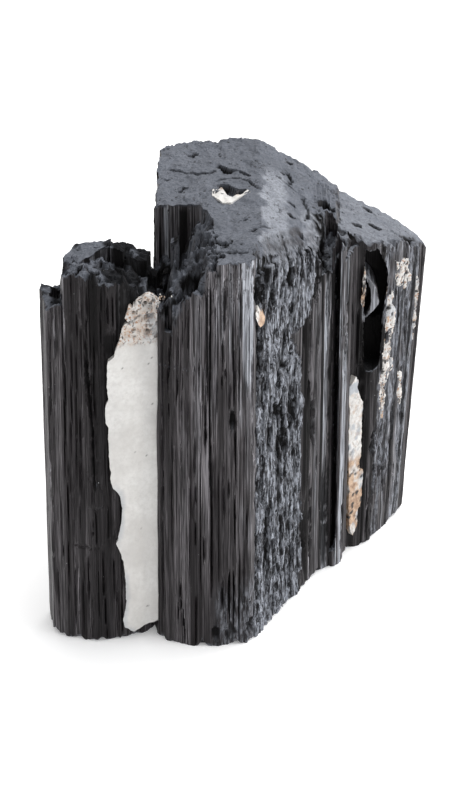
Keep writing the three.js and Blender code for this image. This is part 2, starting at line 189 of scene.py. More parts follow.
def splinters(S, Z, seed, width, height, depth):
    """Broken fibrous cells: narrow upright slivers at uneven depths with torn ends."""
    u = S / width + 0.25 * vnoise(S * 0.7, Z * 0.25, seed + 1)
    i = np.floor(u)
    v = Z / height + hsh(i, 0 * i, seed + 2) * 7 + 0.35 * vnoise(S * 2.2, Z * 0.5, seed + 3)
    j = np.floor(v)
    a = hsh(i, j, seed)
    tilt = (u - i - 0.5) * (hsh(i, j, seed + 4) - 0.5) * 1.2 + (v - j - 0.5) * (hsh(i, j, seed + 5) - 0.5) * 0.8
    return depth * (a + tilt)


# ------------------------------------------------------------------ shape makers (mm, drawing frame)
BIN = bpy.data.collections.new("making")
scene.collection.children.link(BIN)


def make(name, V, F):
    me = bpy.data.meshes.new(name)
    V, n = np.asarray(V, np.float32), len(V)
    me.vertices.add(n)
    me.vertices.foreach_set("co", V.ravel())
    sizes = np.array([len(f) for f in F], np.int32)
    me.loops.add(int(sizes.sum()))
    me.loops.foreach_set("vertex_index", np.concatenate([np.asarray(f, np.int32) for f in F]))
    me.polygons.add(len(F))
    me.polygons.foreach_set("loop_start", np.concatenate([[0], np.cumsum(sizes)[:-1]]).astype(np.int32))
    me.update(calc_edges=True)
    o = bpy.data.objects.new(name, me)
    BIN.objects.link(o)
    return o


def carve(base, *steps):
    """Applies (operation, object) boolean steps to base in order and returns the result as a new object."""
    for k, (op, o) in enumerate(steps):
        m = base.modifiers.new(f"b{k}", "BOOLEAN")
        m.object, m.operation, m.solver = o, op, "MANIFOLD"
    e = base.evaluated_get(bpy.context.evaluated_depsgraph_get())
    me = bpy.data.meshes.new_from_object(e)
    out = bpy.data.objects.new(base.name + "_c", me)
    BIN.objects.link(out)
    for o in [base] + [o for _, o in steps]:
        if o.name in bpy.data.objects and not o.get("keep"):
            bpy.data.objects.remove(o)
    return out


def ring(pts, spacing, soft=0.45):
    """Points round an outline with outward normals blended near corners, and the distance round."""
    P = np.asarray(pts, float)
    n = len(P)
    sp = np.broadcast_to(spacing, n) if np.ndim(spacing) else np.full(n, float(spacing))
    d = np.roll(P, -1, 0) - P
    L = np.hypot(d[:, 0], d[:, 1])
    N = np.stack([d[:, 1], -d[:, 0]], 1) / L[:, None]
    s0 = np.concatenate([[0], np.cumsum(L)])
    X, NN, S = [], [], []
    for i in range(n):
        m = max(1, int(math.ceil(L[i] / sp[i])))
        t = np.arange(m) / m
        X.append(P[i] + d[i] * t[:, None])
        a = np.clip(0.5 - t * L[i] / (2 * soft), 0, 0.5)[:, None]
        b = np.clip(0.5 - (1 - t) * L[i] / (2 * soft), 0, 0.5)[:, None]
        v = N[i] * (1 - a - b) + N[i - 1] * a + N[(i + 1) % n] * b
        NN.append(v / np.maximum(0.55, np.hypot(v[:, 0], v[:, 1]))[:, None])
        S.append(s0[i] + t * L[i])
    return np.concatenate(X), np.concatenate(NN), np.concatenate(S)


def wall(name, pts, z0, z1, relief=None, spacing=0.3, row=0.5, lean=None):
    """Upright closed prism whose faces carry relief(S, Z)."""
    X, N, S = ring(pts, spacing)
    Z = np.linspace(z0, z1, max(2, int((z1 - z0) / row) + 1))
    SS, ZZ = np.meshgrid(S, Z)
    D = relief(SS, ZZ) if relief else np.zeros_like(SS)
    V = np.stack([X[:, 0] - N[:, 0] * D, X[:, 1] - N[:, 1] * D, ZZ], -1)
    if lean:
        V = lean(V)
    m, n = SS.shape
    i = np.arange(m - 1)[:, None] * n + np.arange(n)[None]
    j = np.arange(m - 1)[:, None] * n + (np.arange(n)[None] + 1) % n
    F = list(np.stack([i, j, j + n, i + n], -1).reshape(-1, 4))
    F += [np.arange(n)[::-1], (m - 1) * n + np.arange(n)]
    return make(name, V.reshape(-1, 3), F)


def block(name, x0, y0, x1, y1, step, top, bottom):
    """Gridded block between two height functions of x, y."""
    nx, ny = int((x1 - x0) / step) + 1, int((y1 - y0) / step) + 1
    X, Y = np.meshgrid(np.linspace(x0, x1, nx), np.linspace(y0, y1, ny))
    T = top(X, Y) if callable(top) else np.full_like(X, top)
    B = bottom(X, Y) if callable(bottom) else np.full_like(X, bottom)
    V = np.concatenate([np.stack([X, Y, T], -1).reshape(-1, 3), np.stack([X, Y, B], -1).reshape(-1, 3)])
    o = nx * ny
    a = (np.arange(ny - 1)[:, None] * nx + np.arange(nx - 1)[None]).ravel()
    F = list(np.stack([a, a + 1, a + nx + 1, a + nx], -1)) + list(o + np.stack([a, a + nx, a + nx + 1, a + 1], -1))
    e = np.array(
        list(range(nx)) + [nx - 1 + k * nx for k in range(1, ny)]
        + [(ny - 1) * nx + k for k in range(nx - 2, -1, -1)] + [k * nx for k in range(ny - 2, 0, -1)]
    )
    f = np.roll(e, -1)
    F += list(np.stack([e, o + e, o + f, f], -1))
    return make(name, V, F)


def frontwall(name, pts, y0, y1, spacing=0.3, ragged=0.0, seed=1, row=0.6):
    """Prism on an x-z outline, from y0 back to y1, with a ragged edge."""
    X, N, S = ring(pts, spacing, 0.3)
    Y = np.linspace(y1, y0, max(2, int((y1 - y0) / row) + 1))
    SS, YY = np.meshgrid(S, Y)
    D = ragged * fbm(SS * 1.1, YY * 0.35, seed, 4, 0.6)
    V = np.stack([X[:, 0] - N[:, 0] * D, YY, X[:, 1] - N[:, 1] * D], -1)
    m, n = SS.shape
    i = np.arange(m - 1)[:, None] * n + np.arange(n)[None]
    j = np.arange(m - 1)[:, None] * n + (np.arange(n)[None] + 1) % n
    F = list(np.stack([i, j, j + n, i + n], -1).reshape(-1, 4))
    F += [np.arange(n)[::-1], (m - 1) * n + np.arange(n)]
    return make(name, V.reshape(-1, 3), F)


ICO = None


def grains(name, places, seed, angular=0.35):
    """Small broken grains joined in one mesh: places are (x, y, z, size) or (x, y, z, (sx, sy, sz))."""
    global ICO
    if ICO is None:
        import bmesh
        bm = bmesh.new()
        bmesh.ops.create_icosphere(bm, subdivisions=2, radius=1.0)
        ICO = (np.array([v.co[:] for v in bm.verts]), np.array([[v.index for v in f.verts] for f in bm.faces]))
        bm.free()
    V, F = [], []
    r = np.random.RandomState(seed)
    for q, (x, y, z, size) in enumerate(places):
        p = ICO[0].copy()
        for _ in range(9):  # break flat faces off
            n = r.normal(size=3)
            n /= np.linalg.norm(n)
            d = p @ n
            lim = r.uniform(0.45, 0.8)
            p -= np.clip(d - lim, 0, None)[:, None] * n
        p *= 1 + angular * 0.3 * r.uniform(-1, 1, (len(p), 1))
        ang = r.uniform(0, 6.28)
        c, s = math.cos(ang), math.sin(ang)
        p = p @ np.array([[c, s, 0], [-s, c, 0], [0, 0, 1]])
        sc = np.array(size if np.ndim(size) else [size * r.uniform(0.7, 1.3) for _ in range(3)])
        V.append(p * sc + np.array([x, y, z]))
        F.append(ICO[1] + q * len(p))
    return make(name, np.concatenate(V), list(np.concatenate(F)))


def fan(V):
    """The right crystal spreads outwards with height."""
    V = V.copy()
    V[..., 0] += V[..., 2] * 0.056 * np.maximum(0, V[..., 0] - 18.7) / 11.9
    return V


def outset(pts, d):
    P = np.asarray(pts, float)
    a, b = P - np.roll(P, 1, 0), np.roll(P, -1, 0) - P
    n1 = np.stack([a[:, 1], -a[:, 0]], 1) / np.hypot(a[:, 0], a[:, 1])[:, None]
    n2 = np.stack([b[:, 1], -b[:, 0]], 1) / np.hypot(b[:, 0], b[:, 1])[:, None]
    area = np.sum(P[:, 0] * np.roll(P[:, 1], -1) - np.roll(P[:, 0], -1) * P[:, 1])
    m = n1 + n2
    l = np.hypot(m[:, 0], m[:, 1])[:, None]
    m = m / l
    k = d / np.maximum(0.5, np.sum(m * n1, 1))
    return P + m * k[:, None] * np.sign(area)


def inside(pts, X, Y):
    """Signed distance to a polygon, positive inside."""
    P = np.asarray(pts, float)
    best = np.full(np.shape(X), 1e9)
    odd = np.zeros(np.shape(X), bool)
    for a, b in zip(P, np.roll(P, -1, 0)):
        d = b - a
        t = np.clip(((X - a[0]) * d[0] + (Y - a[1]) * d[1]) / (d @ d), 0, 1)
        best = np.minimum(best, np.hypot(X - a[0] - t * d[0], Y - a[1] - t * d[1]))
        hit = ((a[1] > Y) != (b[1] > Y)) & (X < (b[0] - a[0]) * (Y - a[1]) / (b[1] - a[1] + 1e-12) + a[0])
        odd ^= hit
    return np.where(odd, best, -best)


def around(pts, X, Y):
    """Distance round the outline of the nearest outline point, for points near its walls."""
    P = np.asarray(pts, float)
    best, out, s0 = np.full(len(X), 1e9), np.zeros(len(X)), 0.0
    for a, b in zip(P, np.roll(P, -1, 0)):
        d = b - a
        L = math.hypot(*d)
        t = np.clip(((X - a[0]) * d[0] + (Y - a[1]) * d[1]) / (L * L), 0, 1)
        e = np.hypot(X - a[0] - t * d[0], Y - a[1] - t * d[1])
        m = e < best
        best[m], out[m] = e[m], (s0 + t * L)[m]
        s0 += L
    return out, best


def cracks(X, Y, table):
    """Cracks and pits of a broken top: ("line", width, depth, points) or ("pit", x, y, r, depth)."""
    out = np.zeros_like(X)
    for q, f in enumerate(table):
        if f[0] == "line":
            _, w, d, pts = f
            best = np.full_like(X, 1e9)
            for (ax, ay), (bx, by) in zip(pts[:-1], pts[1:]):
                dx, dy = bx - ax, by - ay
                t = np.clip(((X - ax) * dx + (Y - ay) * dy) / (dx * dx + dy * dy), 0, 1)
                best = np.minimum(best, np.hypot(X - ax - t * dx, Y - ay - t * dy))
            best = best + 0.15 * vnoise(X * 1.5, Y * 1.5, 400 + q)
            out = np.maximum(out, d * 1.3 * np.clip(2.0 * (1 - best / w), 0, 1))
        else:
            _, x, y, r, d = f
            e = np.hypot(X - x, (Y - y)) / r + 0.35 * vnoise(X * 2.1, Y * 2.1, 500 + q)
            out = np.maximum(out, d * 1.3 * np.clip(2.2 * (1 - e), 0, 1))
    return out


def breaks(X, Y, seed, scale=3.0, amp=0.25, angle=0.5):
    """Terraced fracture surface: small flats with short steps between them."""
    c, s = math.cos(angle), math.sin(angle)
    u, v = (X * c + Y * s) / scale, (-X * s + Y * c) / (scale * 1.7)
    f = fbm(u, v, seed, 3) * 3.0
    k = np.floor(f)
    return amp * (k + sstep(0.35, 0.65, f - k)) / 3.0


# ------------------------------------------------------------------ measured grooves and ridges (mm)
# (width, depth, [(s, z), ...]); s runs round each outline from its first point, z is height; a ridge has a negative depth
G_MAIN = [
    (0.47, 0.9, [(3.48, 43.6), (3.23, 24.8)]), (0.43, 0.5, [(3.53, 55.8), (3.48, 43.6)]),
    (0.47, 0.5, [(3.23, 24.8), (3.13, 7.2)]), (0.37, 0.45, [(5.24, 56.2), (4.79, 49.2), (4.39, 44.8)]),
    (0.35, 0.5, [(4.79, 43.2), (4.69, 40.8)]), (0.32, 0.5, [(6.27, 55.6), (6.27, 50)]),
    (0.33, 0.5, [(6.22, 49.2), (6.07, 44)]), (0.26, 0.4, [(7.07, 58), (7.02, 53.8)]),
    (0.26, 0.4, [(6.97, 49), (7.02, 46)]), (0.26, 0.4, [(6.97, 45), (6.82, 42.2)]),
    (0.28, 0.35, [(6.72, 36), (6.67, 32.8)]), (0.23, 0.4, [(9.06, 51.4), (9.06, 44.4)]),
    (0.24, 0.45, [(9.11, 38.2), (9.06, 30.4)]), (0.24, 0.45, [(9.21, 30), (9.21, 25.8)]),
    (0.24, 0.45, [(9.16, 22.8), (9.16, 18.8)]), (0.25, 0.4, [(9.21, 11), (9.16, -0.2)]),
    (0.25, 0.8, [(11.13, 63.6), (11.08, 44.8)]),
    (0.27, 0.9, [(11.63, 63.6), (11.53, 41.4), (11.58, 32.6), (11.73, 16.2), (11.73, 8.8)]),
    (0.53, 0.5, [(10.23, 44), (10.83, 43.6), (10.83, 36.4), (10.83, 35.8)]), (0.33, 0.7, [(10.78, 39.2), (10.78, 36.4)]),
    (0.68, 0.6, [(13.88, 64.2), (13.78, 59.8), (13.68, 55.2)]), (0.6, 0.6, [(13.53, 55.4), (13.53, 50.2)]),
    (0.3, 0.5, [(13.33, 48.6), (13.33, 47)]), (0.28, 0.5, [(13.93, 49.8), (13.98, 48.2)]),
    (0.27, 0.45, [(13.63, 36), (13.63, 21.4)]), (0.3, 0.8, [(15.03, 59.6), (15.13, 53.4), (15.28, 43.8)]),
    (0.19, 0.5, [(16.39, 63.4), (16.44, 54.2)]), (0.21, 0.35, [(16.04, 61.8), (16.09, 44.6)]),
    (0.83, 1.1, [(15.03, 42.6), (15.08, 39.4)]), (0.41, 0.9, [(15.48, 39.6), (15.53, 33.8), (15.63, 30.2)]),
    (0.35, 0.8, [(15.43, 27.2), (15.38, 19.4)]), (0.27, 0.6, [(14.43, 30.6), (14.43, 27)]),
    (0.35, 0.5, [(17.49, 25.2), (17.49, 19)]), (0.21, 0.35, [(11.93, 35.2), (11.88, 16.2)]),
    (0.35, 0.5, [(6.47, 11.4), (6.47, 8.2)]), (1, 0.6, [(6.47, 8.2), (6.42, 6.2)]),
    (0.46, 0.7, [(5.94, 7.4), (5.94, 4.2)]), (0.35, 0.7, [(6.77, 6.8), (7.22, 0.8)]),
    (0.33, 0.6, [(10.53, 20.2), (10.53, 15.2)]), (0.79, 0.6, [(13.43, 11.8), (13.48, 6.8)]),
    (0.4, 0.9, [(14.48, 13.6), (14.48, 4.4)]), (0.4, 0.9, [(15.28, 13.6), (15.28, 4.4)]),
    (0.25, 0.5, [(16.19, 16), (16.24, 1)]), (1.85, 0.9, [(18.61, 4.4), (18.91, 1.6)]),
    (0.95, 0.8, [(12.33, 3.8), (12.33, 1)]), (0.24, 0.35, [(8.16, 61.8), (8.01, 37.8)]),
    (0.2, 0.3, [(9.96, 62.6), (9.86, 45)]), (0.21, 0.3, [(12.73, 63.6), (12.68, 41.4)]),
    (0.24, 0.35, [(8.26, 32.4), (8.11, 8.8)]), (0.24, 0.3, [(5.24, 38.8), (5.04, 15.4)]),
    (0.2, 0.25, [(16.94, 61.6), (17.14, 30.4)]), (0.22, 0.25, [(17.59, 61.6), (17.69, 35.6)]),
    (0.25, 0.4, [(7.67, 61.8), (7.67, 56.8)]), (0.21, 0.4, [(14.63, 48.2), (14.58, 42.8)]),
    (0.18, 0.4, [(10.01, 35.2), (9.91, 8.8)]), (0.21, 0.35, [(12.83, 30.8), (12.83, 11.8)]),
    (0.24, -0.22, [(12.18, 63.6), (12.18, 54.4)]), (0.22, -0.2, [(14.53, 63.6), (14.53, 56.8)]),
    (0.56, -0.22, [(15.84, 61), (15.89, 43.8)]), (0.23, -0.2, [(8.91, 27.4), (8.96, 23.2)]),
    (0.17, -0.2, [(10.18, 51.2), (10.13, 44.6)]), (0.22, -0.3, [(10.68, 49.4), (10.63, 44.4)]),
    (0.66, -0.25, [(18.66, 34.8), (20.67, 27.8)]), (0.37, -0.2, [(5.39, 53.6), (4.94, 44)]),
    (0.57, 0.7, [(18.76, 52.2), (18.71, 40.4)]), (0.47, 0.5, [(18.81, 40.4), (18.86, 34.8)]),
    (2.64, 0.8, [(20.62, 65), (20.72, 59.2)]), (0.73, 0.5, [(21.82, 54.6), (21.62, 51.4), (21.47, 47.6)]),
    (1.17, 1.2, [(24.27, 64), (24.12, 60.8)]), (1.05, 1.2, [(25.77, 61.4), (25.92, 58.4), (26.02, 56.4)]),
    (0.67, 0.6, [(22.92, 63.4), (23.22, 60)]), (1.53, 1.4, [(31.57, 62), (31.47, 57.4)]),
    (0.7, 0.6, [(28.67, 64), (28.87, 62.2)]), (0.77, 0.5, [(27.42, 49.6), (27.02, 47.4), (26.57, 45.2)]),
    (1.1, 1, [(31.82, 47.6), (31.72, 45)]), (0.59, 0.6, [(27.82, 48.2), (27.82, 46.4)]),
    (0.65, 1, [(24.97, 41.2), (25.07, 37.6)]), (0.6, 0.5, [(23.92, 44.4), (24.02, 43)]),
    (0.91, 1.5, [(28.17, 37), (28.52, 26.8)]), (1.2, 1.6, [(30.07, 33.4), (30.47, 29.4), (30.42, 26.8)]),
    (0.89, 1.2, [(32.17, 34.2), (32.62, 30.2)]), (0.51, 0.6, [(29.62, 39), (29.62, 37.2)]),
    (1.61, 0.8, [(32.82, 36.6), (32.97, 33.4)]), (0.59, 0.5, [(31.52, 42.2), (31.52, 38)]),
    (0.84, 1.3, [(36.32, 27), (36.17, 24.8), (35.92, 23)]), (0.73, 0.8, [(36.07, 42), (36.07, 39.2)]),
    (0.72, 0.8, [(29.17, 18.6), (29.47, 3)]), (0.75, 0.8, [(27.42, 27.2), (27.32, 23.6)]),
    (0.56, 0.6, [(21.97, 33.2), (22.07, 28.2)]), (0.56, 0.5, [(24.17, 4.8), (24.92, 6.2)]),
    (1.83, 0.9, [(27.02, 4), (25.72, 1.6)]), (1.4, 0.9, [(21.27, 13.8), (21.27, 12)]),
    (0.75, 0.6, [(32.12, 19.4), (32.42, 8)]), (0.75, 0.6, [(33.92, 24), (34.17, 10.8)]),
    (0.63, 0.5, [(26.07, 22.4), (26.22, 11.2)]), (0.68, 0.5, [(30.87, 12.6), (31.12, 3.8)]),
    (0.67, 0.6, [(22.87, 20.4), (23.37, 14.6)]), (0.7, 0.7, [(24.67, 15.8), (24.82, 8.2)]),
    (0.88, 1, [(36.82, 49.2), (36.97, 45.2), (36.72, 41.6)]),
    (1.23, 1.2, [(39.17, 51), (39.37, 45), (39.17, 39.4), (38.27, 34.8)]), (0.81, 0.6, [(35.32, 39), (35.42, 36.4)]),
    (2.2, 1.3, [(41.32, 59), (41.07, 55), (40.82, 51.2)]), (1.31, 1.6, [(42.17, 59.8), (42.22, 57.6)]),
    (0.53, 0.6, [(42.85, 56.4), (42.9, 50.6), (42.65, 45.4)]), (0.54, 0.5, [(43.8, 52.4), (43.8, 46.8)]),
    (0.81, 1, [(39.82, 19.2), (40.27, 2.4)]), (1.65, 0.8, [(40.17, 34.2), (40.57, 25.4)]),
    (1.52, 1, [(43.75, 19.2), (44.15, 0.6)]), (2.9, 1.1, [(45.65, 18.4), (46.66, -0.6)]),
    (0.36, -0.3, [(44.66, 17), (45.01, 0.2)]), (2.11, 0.7, [(37.62, 15), (37.97, 2.6)]),
    (0.44, 0.7, [(44.36, 21.8), (44.56, 16)]), (0.38, 0.3, [(42.65, 45.4), (43.2, 27)]),
    (0.3, 0.3, [(44.21, 35.8), (44.21, 26.6)]), (0.49, 0.4, [(45.35, 51.2), (45.16, 42.8)]),
    (0.36, -0.3, [(44.21, 44.8), (44.36, 39)]), (4.22, 0.8, [(47.36, 52.4), (47.41, 43.4), (46.71, 31), (46.81, 15)]),
    (0.62, 0.5, [(41.52, 25), (41.67, 20.2)]), (0.45, 0.3, [(41.62, 49.4), (42.17, 29.2)]),
    (0.78, -0.3, [(44.61, 56.8), (44.56, 50), (44.46, 44.8)]),
]
G_LEFT = [
    (0.24, 0.5, [(11.04, 55.6), (10.39, 31)]), (0.3, 0.5, [(9.42, 25.4), (9.42, 20), (9.62, 12.6)]),
    (0.26, 0.45, [(14.66, 62.8), (14.36, 52.6)]),
    (0.79, 0.9, [(14.31, 53.4), (14.36, 47.4), (14.76, 42.4), (15.01, 38.8), (15.11, 31.8), (15.21, 28.2)]),
    (0.27, 0.7, [(15.84, 53.6), (15.54, 39)]), (1.31, 0.35, [(15.44, 54.6), (15.44, 47.8), (15.74, 39), (15.74, 31.8)]),
    (1.67, 0.45, [(15.79, 34), (15.69, 29.6)]), (0.47, 0.6, [(15.44, 30), (15.36, 28.2)]),
    (0.29, 0.8, [(15.49, 24), (15.44, 18.2)]), (0.32, 0.6, [(14.81, 22.8), (14.71, 18.8)]),
    (0.26, 0.5, [(16.59, 16.4), (16.44, 7.6)]), (0.25, 0.5, [(18.44, 16), (18.29, 7.2)]),
    (0.33, 0.6, [(16.59, 11.6), (16.74, 6.8), (16.94, 1)]), (0.21, 0.35, [(12.04, 55.6), (11.49, 34.8)]),
    (0.23, 0.4, [(12.96, 60.8), (12.29, 33)]), (0.22, 0.35, [(13.66, 61), (12.56, 18.6)]),
    (0.29, 0.4, [(9.37, 60.4), (8.67, 39.4)]), (0.54, 0.35, [(8.42, 60.2), (7.26, 24.6)]),
    (0.22, 0.4, [(17.19, 62.8), (16.94, 50.8)]), (0.22, 0.5, [(18.14, 60.8), (18.04, 55.8)]),
    (2.2, 0.5, [(18.49, 55.8), (18.44, 50.4)]), (0.22, 0.5, [(18.89, 60.8), (18.84, 55.8)]),
    (0.22, 0.4, [(10.94, 31), (10.44, 7.2)]), (0.22, 0.4, [(11.69, 15.4), (11.44, 1.6)]),
    (0.26, 0.4, [(13.01, 15.6), (12.81, 1.4)]), (0.31, 0.45, [(13.91, 15.8), (13.81, 7.6)]),
    (0.24, 0.5, [(18.79, 9.2), (18.79, 1)]), (0.28, 0.35, [(8.42, 14), (8.22, 4.6)]),
    (0.2, 0.4, [(15.74, 16.2), (15.49, 1.4)]), (0.24, 0.5, [(19.44, 7.4), (19.49, 1.6)]),
    (0.3, -0.25, [(16.54, 56), (16.29, 44)]), (0.33, -0.25, [(17.39, 50.8), (17.04, 31.4)]),
    (0.23, -0.2, [(11.24, 32.8), (10.89, 20)]), (0.4, -0.25, [(7.82, 26.6), (7.72, 17.4), (7.72, 8.2)]),
    (0.29, -0.25, [(14.06, 2), (15.01, 9.8)]), (0.3, -0.2, [(9.82, 60.6), (9.72, 52.8)]),
    (0.24, -0.2, [(11.74, 31.2), (11.44, 17.4)]), (0.28, -0.2, [(12.19, 14.8), (11.94, 1.6)]),
    (0.25, 0.5, [(18.19, 48.6), (17.89, 31.4)]), (0.21, 0.4, [(19.14, 46.2), (18.94, 34.8)]),
    (0.28, 0.5, [(17.59, 25.2), (17.64, 17)]),
]
G_RIGHT = [
    (0.99, 0.4, [(4.15, 52), (3.7, 43.2), (3.1, 35.8)]), (0.92, 1.1, [(10.12, 44.4), (10.07, 38), (10.02, 33.2)]),
    (0.83, 1.3, [(7.5, 47), (7.4, 41.6), (7.4, 35)]), (0.32, 0.8, [(8.8, 44.4), (8.8, 35.6)]),
    (1.92, 0.9, [(9.47, 34.4), (9.57, 31.8)]), (1.4, 0.8, [(9.67, 31.8), (9.77, 28), (10.07, 18.4)]),
    (1.69, 1, [(12.65, 21.2), (12.8, 16.8)]), (0.65, 0.8, [(14, 22.4), (13.8, 20.2)]),
    (0.9, 0.9, [(13.1, 16.8), (13.5, 7.2)]), (0.44, 0.5, [(1.98, 31.2), (1.93, 16.2)]),
    (1.41, 0.5, [(4.5, 13), (3.65, 2.8)]), (0.37, 0.4, [(0.88, 28), (1.03, 4.2)]),
    (0.8, 0.6, [(18.65, 24), (18.9, 14.4), (19.7, 4.2)]), (0.6, 0.5, [(17.15, 14.2), (18.1, 5)]),
    (0.73, 0.8, [(16.8, 13), (17.35, 8)]), (0.51, 0.5, [(20.45, 36.4), (21.65, 18.8)]),
    (0.49, 0.5, [(20.9, 41.8), (21.3, 34.2)]), (0.5, 0.5, [(11.42, 14), (11.95, 1.2)]),
    (0.59, 0.5, [(14.3, 12.6), (14.85, 1.6)]), (0.45, -0.25, [(2.38, 49.2), (2.33, 38.4)]),
    (0.28, -0.25, [(10.87, 40.6), (11.02, 27.6)]), (0.61, -0.25, [(15.3, 16), (16.15, 6)]),
    (0.61, -0.25, [(20.2, 12.8), (21.3, 3.4)]), (0.45, -0.2, [(11.22, 16), (12.1, 4)]),
]
ROUGH_EDGE = [(40.82, 59.0), (39.82, 55.2), (39.47, 51.0), (36.77, 49.2), (32.32, 49.2), (34.37, 46.4), (35.97, 41.2), (36.42, 35.6), (36.32, 26.6), (36.62, 15.2), (36.22, 2.4)]


# ------------------------------------------------------------------ plan outlines (mm)
MAIN = [
    (-11.3, -22.6), (-10.7, -24.7), (-9.3, -26), (-7.6, -27), (-6, -27.7), (-3.7, -28), (1.9, -27.7), (3.9, -27), (5, -25.3),
    (5.2, -24.7), (15.3, -5.4), (16.4, -3.9), (17.4, -3.0), (18.3, 0.4), (18.6, 6), (18.8, 19.2), (16, 20.6),
    (2, 21), (-6.5, 20.4), (-10.4, 17.6), (-11.6, 10), (-11.4, -3.6), (-10.9, -12),
]
MAIN_ROUND = 138.64
LEFT = [
    (-28.55, -16.4), (-28.7, -18.6), (-27.6, -23.6), (-25.4, -25.2), (-23, -25.5), (-20.3, -26.75), (-17.6, -25.7),
    (-14.4, -25), (-12.2, -23.3), (-10.4, -21.6), (-10.4, -12.6), (-14, -11.6), (-18.3, -11.6), (-21.8, -13.2), (-24, -15.6),
]
LEFT_ROUND = 55.8
RIGHT = [
    (17.0, -3.0), (18.5, -3.3), (19.6, -1.6), (20.5, 2.6), (22.6, 3.6), (24.2, 5), (30.6, 16.2), (30.7, 17.2), (29.6, 18.2),
    (26.4, 18.9), (18.4, 19.4), (18.2, 5.9), (17.9, 0.6),
]
RIGHT_ROUND = 61.6

# ------------------------------------------------------------------ middle crystal
CORNER = 19.9  # where the front turns into the right-hand face
RIGHT_END = 45.4  # where the right-hand face meets the right crystal


def rough_zone(S, Z):
    """The torn, silvery part of the right-hand face, 0 to 1."""
    zs = [p[1] for p in reversed(ROUGH_EDGE)]
    ss = [p[0] for p in reversed(ROUGH_EDGE)]
    edge = np.interp(Z, zs, ss) + 0.9 * fbm(Z * 0.35, Z * 0 + 3.3, 71, 3)
    start = 19.6 + 0.5 * fbm(Z * 0.5, Z * 0 + 8.1, 72, 3)
    return sstep(start, start + 0.9, S) * (1 - sstep(edge - 0.5, edge + 0.35, S))


def main_relief(S, Z):
    R = rough_zone(S, Z)
    tight = sstep(45.2, 46.2, S) * (1 - sstep(66.5, 67.5, S))  # the seam against the right crystal
    corner = sstep(41.6, 42.3, S) * (1 - sstep(45.6, 46.4, S))
    D = facets(S, Z, 11, 1.1, 3.0, 0.22, MAIN_ROUND) + facets(S, Z, 12, 0.35, 0.9, 0.06, MAIN_ROUND)
    D += strips(S, Z, 13, 0.7, 2.6, 0.20, MAIN_ROUND) + strips(S, Z, 14, 0.3, 0.9, 0.06, MAIN_ROUND, 0.6)
    side = sstep(60, 70, S) + sstep(21, 23, S) * (1 - sstep(45, 47, S))
    D += lines(S, Z, 15, 0.42, 0.13, MAIN_ROUND) + scored(S, Z, 16, 2.6, 0.32, 0.40, MAIN_ROUND, 25, 80)
    D += scored(S, Z, 18, 3.4, 0.7, 0.5, MAIN_ROUND, 25, 80) * np.clip(side, 0, 1)
    D += 0.025 * fbm(S * 4.0, Z * 0.35, 17, 3)
    low = sstep(11.5, 14.0, S) * (1 - sstep(19.4, 20.2, S)) * (1 - sstep(6, 15, Z + 3 * vnoise(S * 0.8, Z * 0.2, 93)))
    D += low * (splinters(S, Z, 91, 0.9, 3.4, 0.30) + splinters(S, Z, 94, 0.45, 1.5, 0.16) + 0.5 * np.clip(fbm(S * 0.9, Z * 0.45, 92, 3), 0, 1) - 0.12)
    cut, lift = placed(S, Z, G_MAIN, 900)
    D = D * (1 - 0.85 * tight) * (1 - 0.6 * corner) + cut * (1 - 0.7 * corner) - lift
    # the torn zone is carried by its own finer skin, so the wall draws back behind it
    D = D * (1 - 0.5 * R) + 0.95 * R
    # the front-left strips draw back at the top
    D += 0.75 * sstep(34, 52, Z) * (1 - sstep(1.2, 3.2, S))
    # crumbling upper edge of the front
    D += 0.45 * np.clip(fbm(S * 1.6, Z * 0.7, 25, 3) + 0.1, 0, 1) * sstep(56, 63, Z) * sstep(4, 7, S) * (1 - sstep(45, 46, S))
    return D


def torn_relief(S, Z):
    """Torn fibrous surface: upright slivers at uneven depths, with deep slots between them."""
    Q = S + 0.10 * Z * vnoise(S * 0.09, Z * 0.03, 20)  # the fibres wander a little off the upright
    D = splinters(Q, Z, 21, 1.7, 11.0, 0.30) + splinters(Q, Z, 22, 0.8, 5.0, 0.26) + splinters(Q, Z, 23, 0.42, 2.2, 0.15)
    D += 0.16 * fbm(Q * 2.2, Z * 0.45, 24, 4) + 0.10 * facets2d(Q, Z * 0.4, 1.3, 30) - 0.22
    slots = fbm(Q * 0.95, Z * 0.11, 26, 3, 0.6) + 0.35 * fbm(Q * 2.4, Z * 0.35, 27, 2)
    upper = sstep(40, 52, Z) * 0.12
    D += 1.05 * sstep(0.17 - upper, 0.36 - upper, slots)
    small = fbm(Q * 2.8, Z * 0.33, 28, 2)
    D += 0.34 * sstep(0.26, 0.42, small)
    # smooth silver flake that hangs over the channels at its right edge
    fl = sstep(33.0, 35.0, S + 0.25 * (Z - 52)) * sstep(47.5, 50.0, Z) * (1 - sstep(56, 58, Z))
    D = D * (1 - 0.75 * fl) - 0.15 * fl + 0.10 * fl * np.abs(vnoise(S * 0.5 + Z * 0.45, S * 0.1, 29))
    cut, lift = placed(S, Z, G_MAIN, 900)
    return D + 0.9 * cut - lift


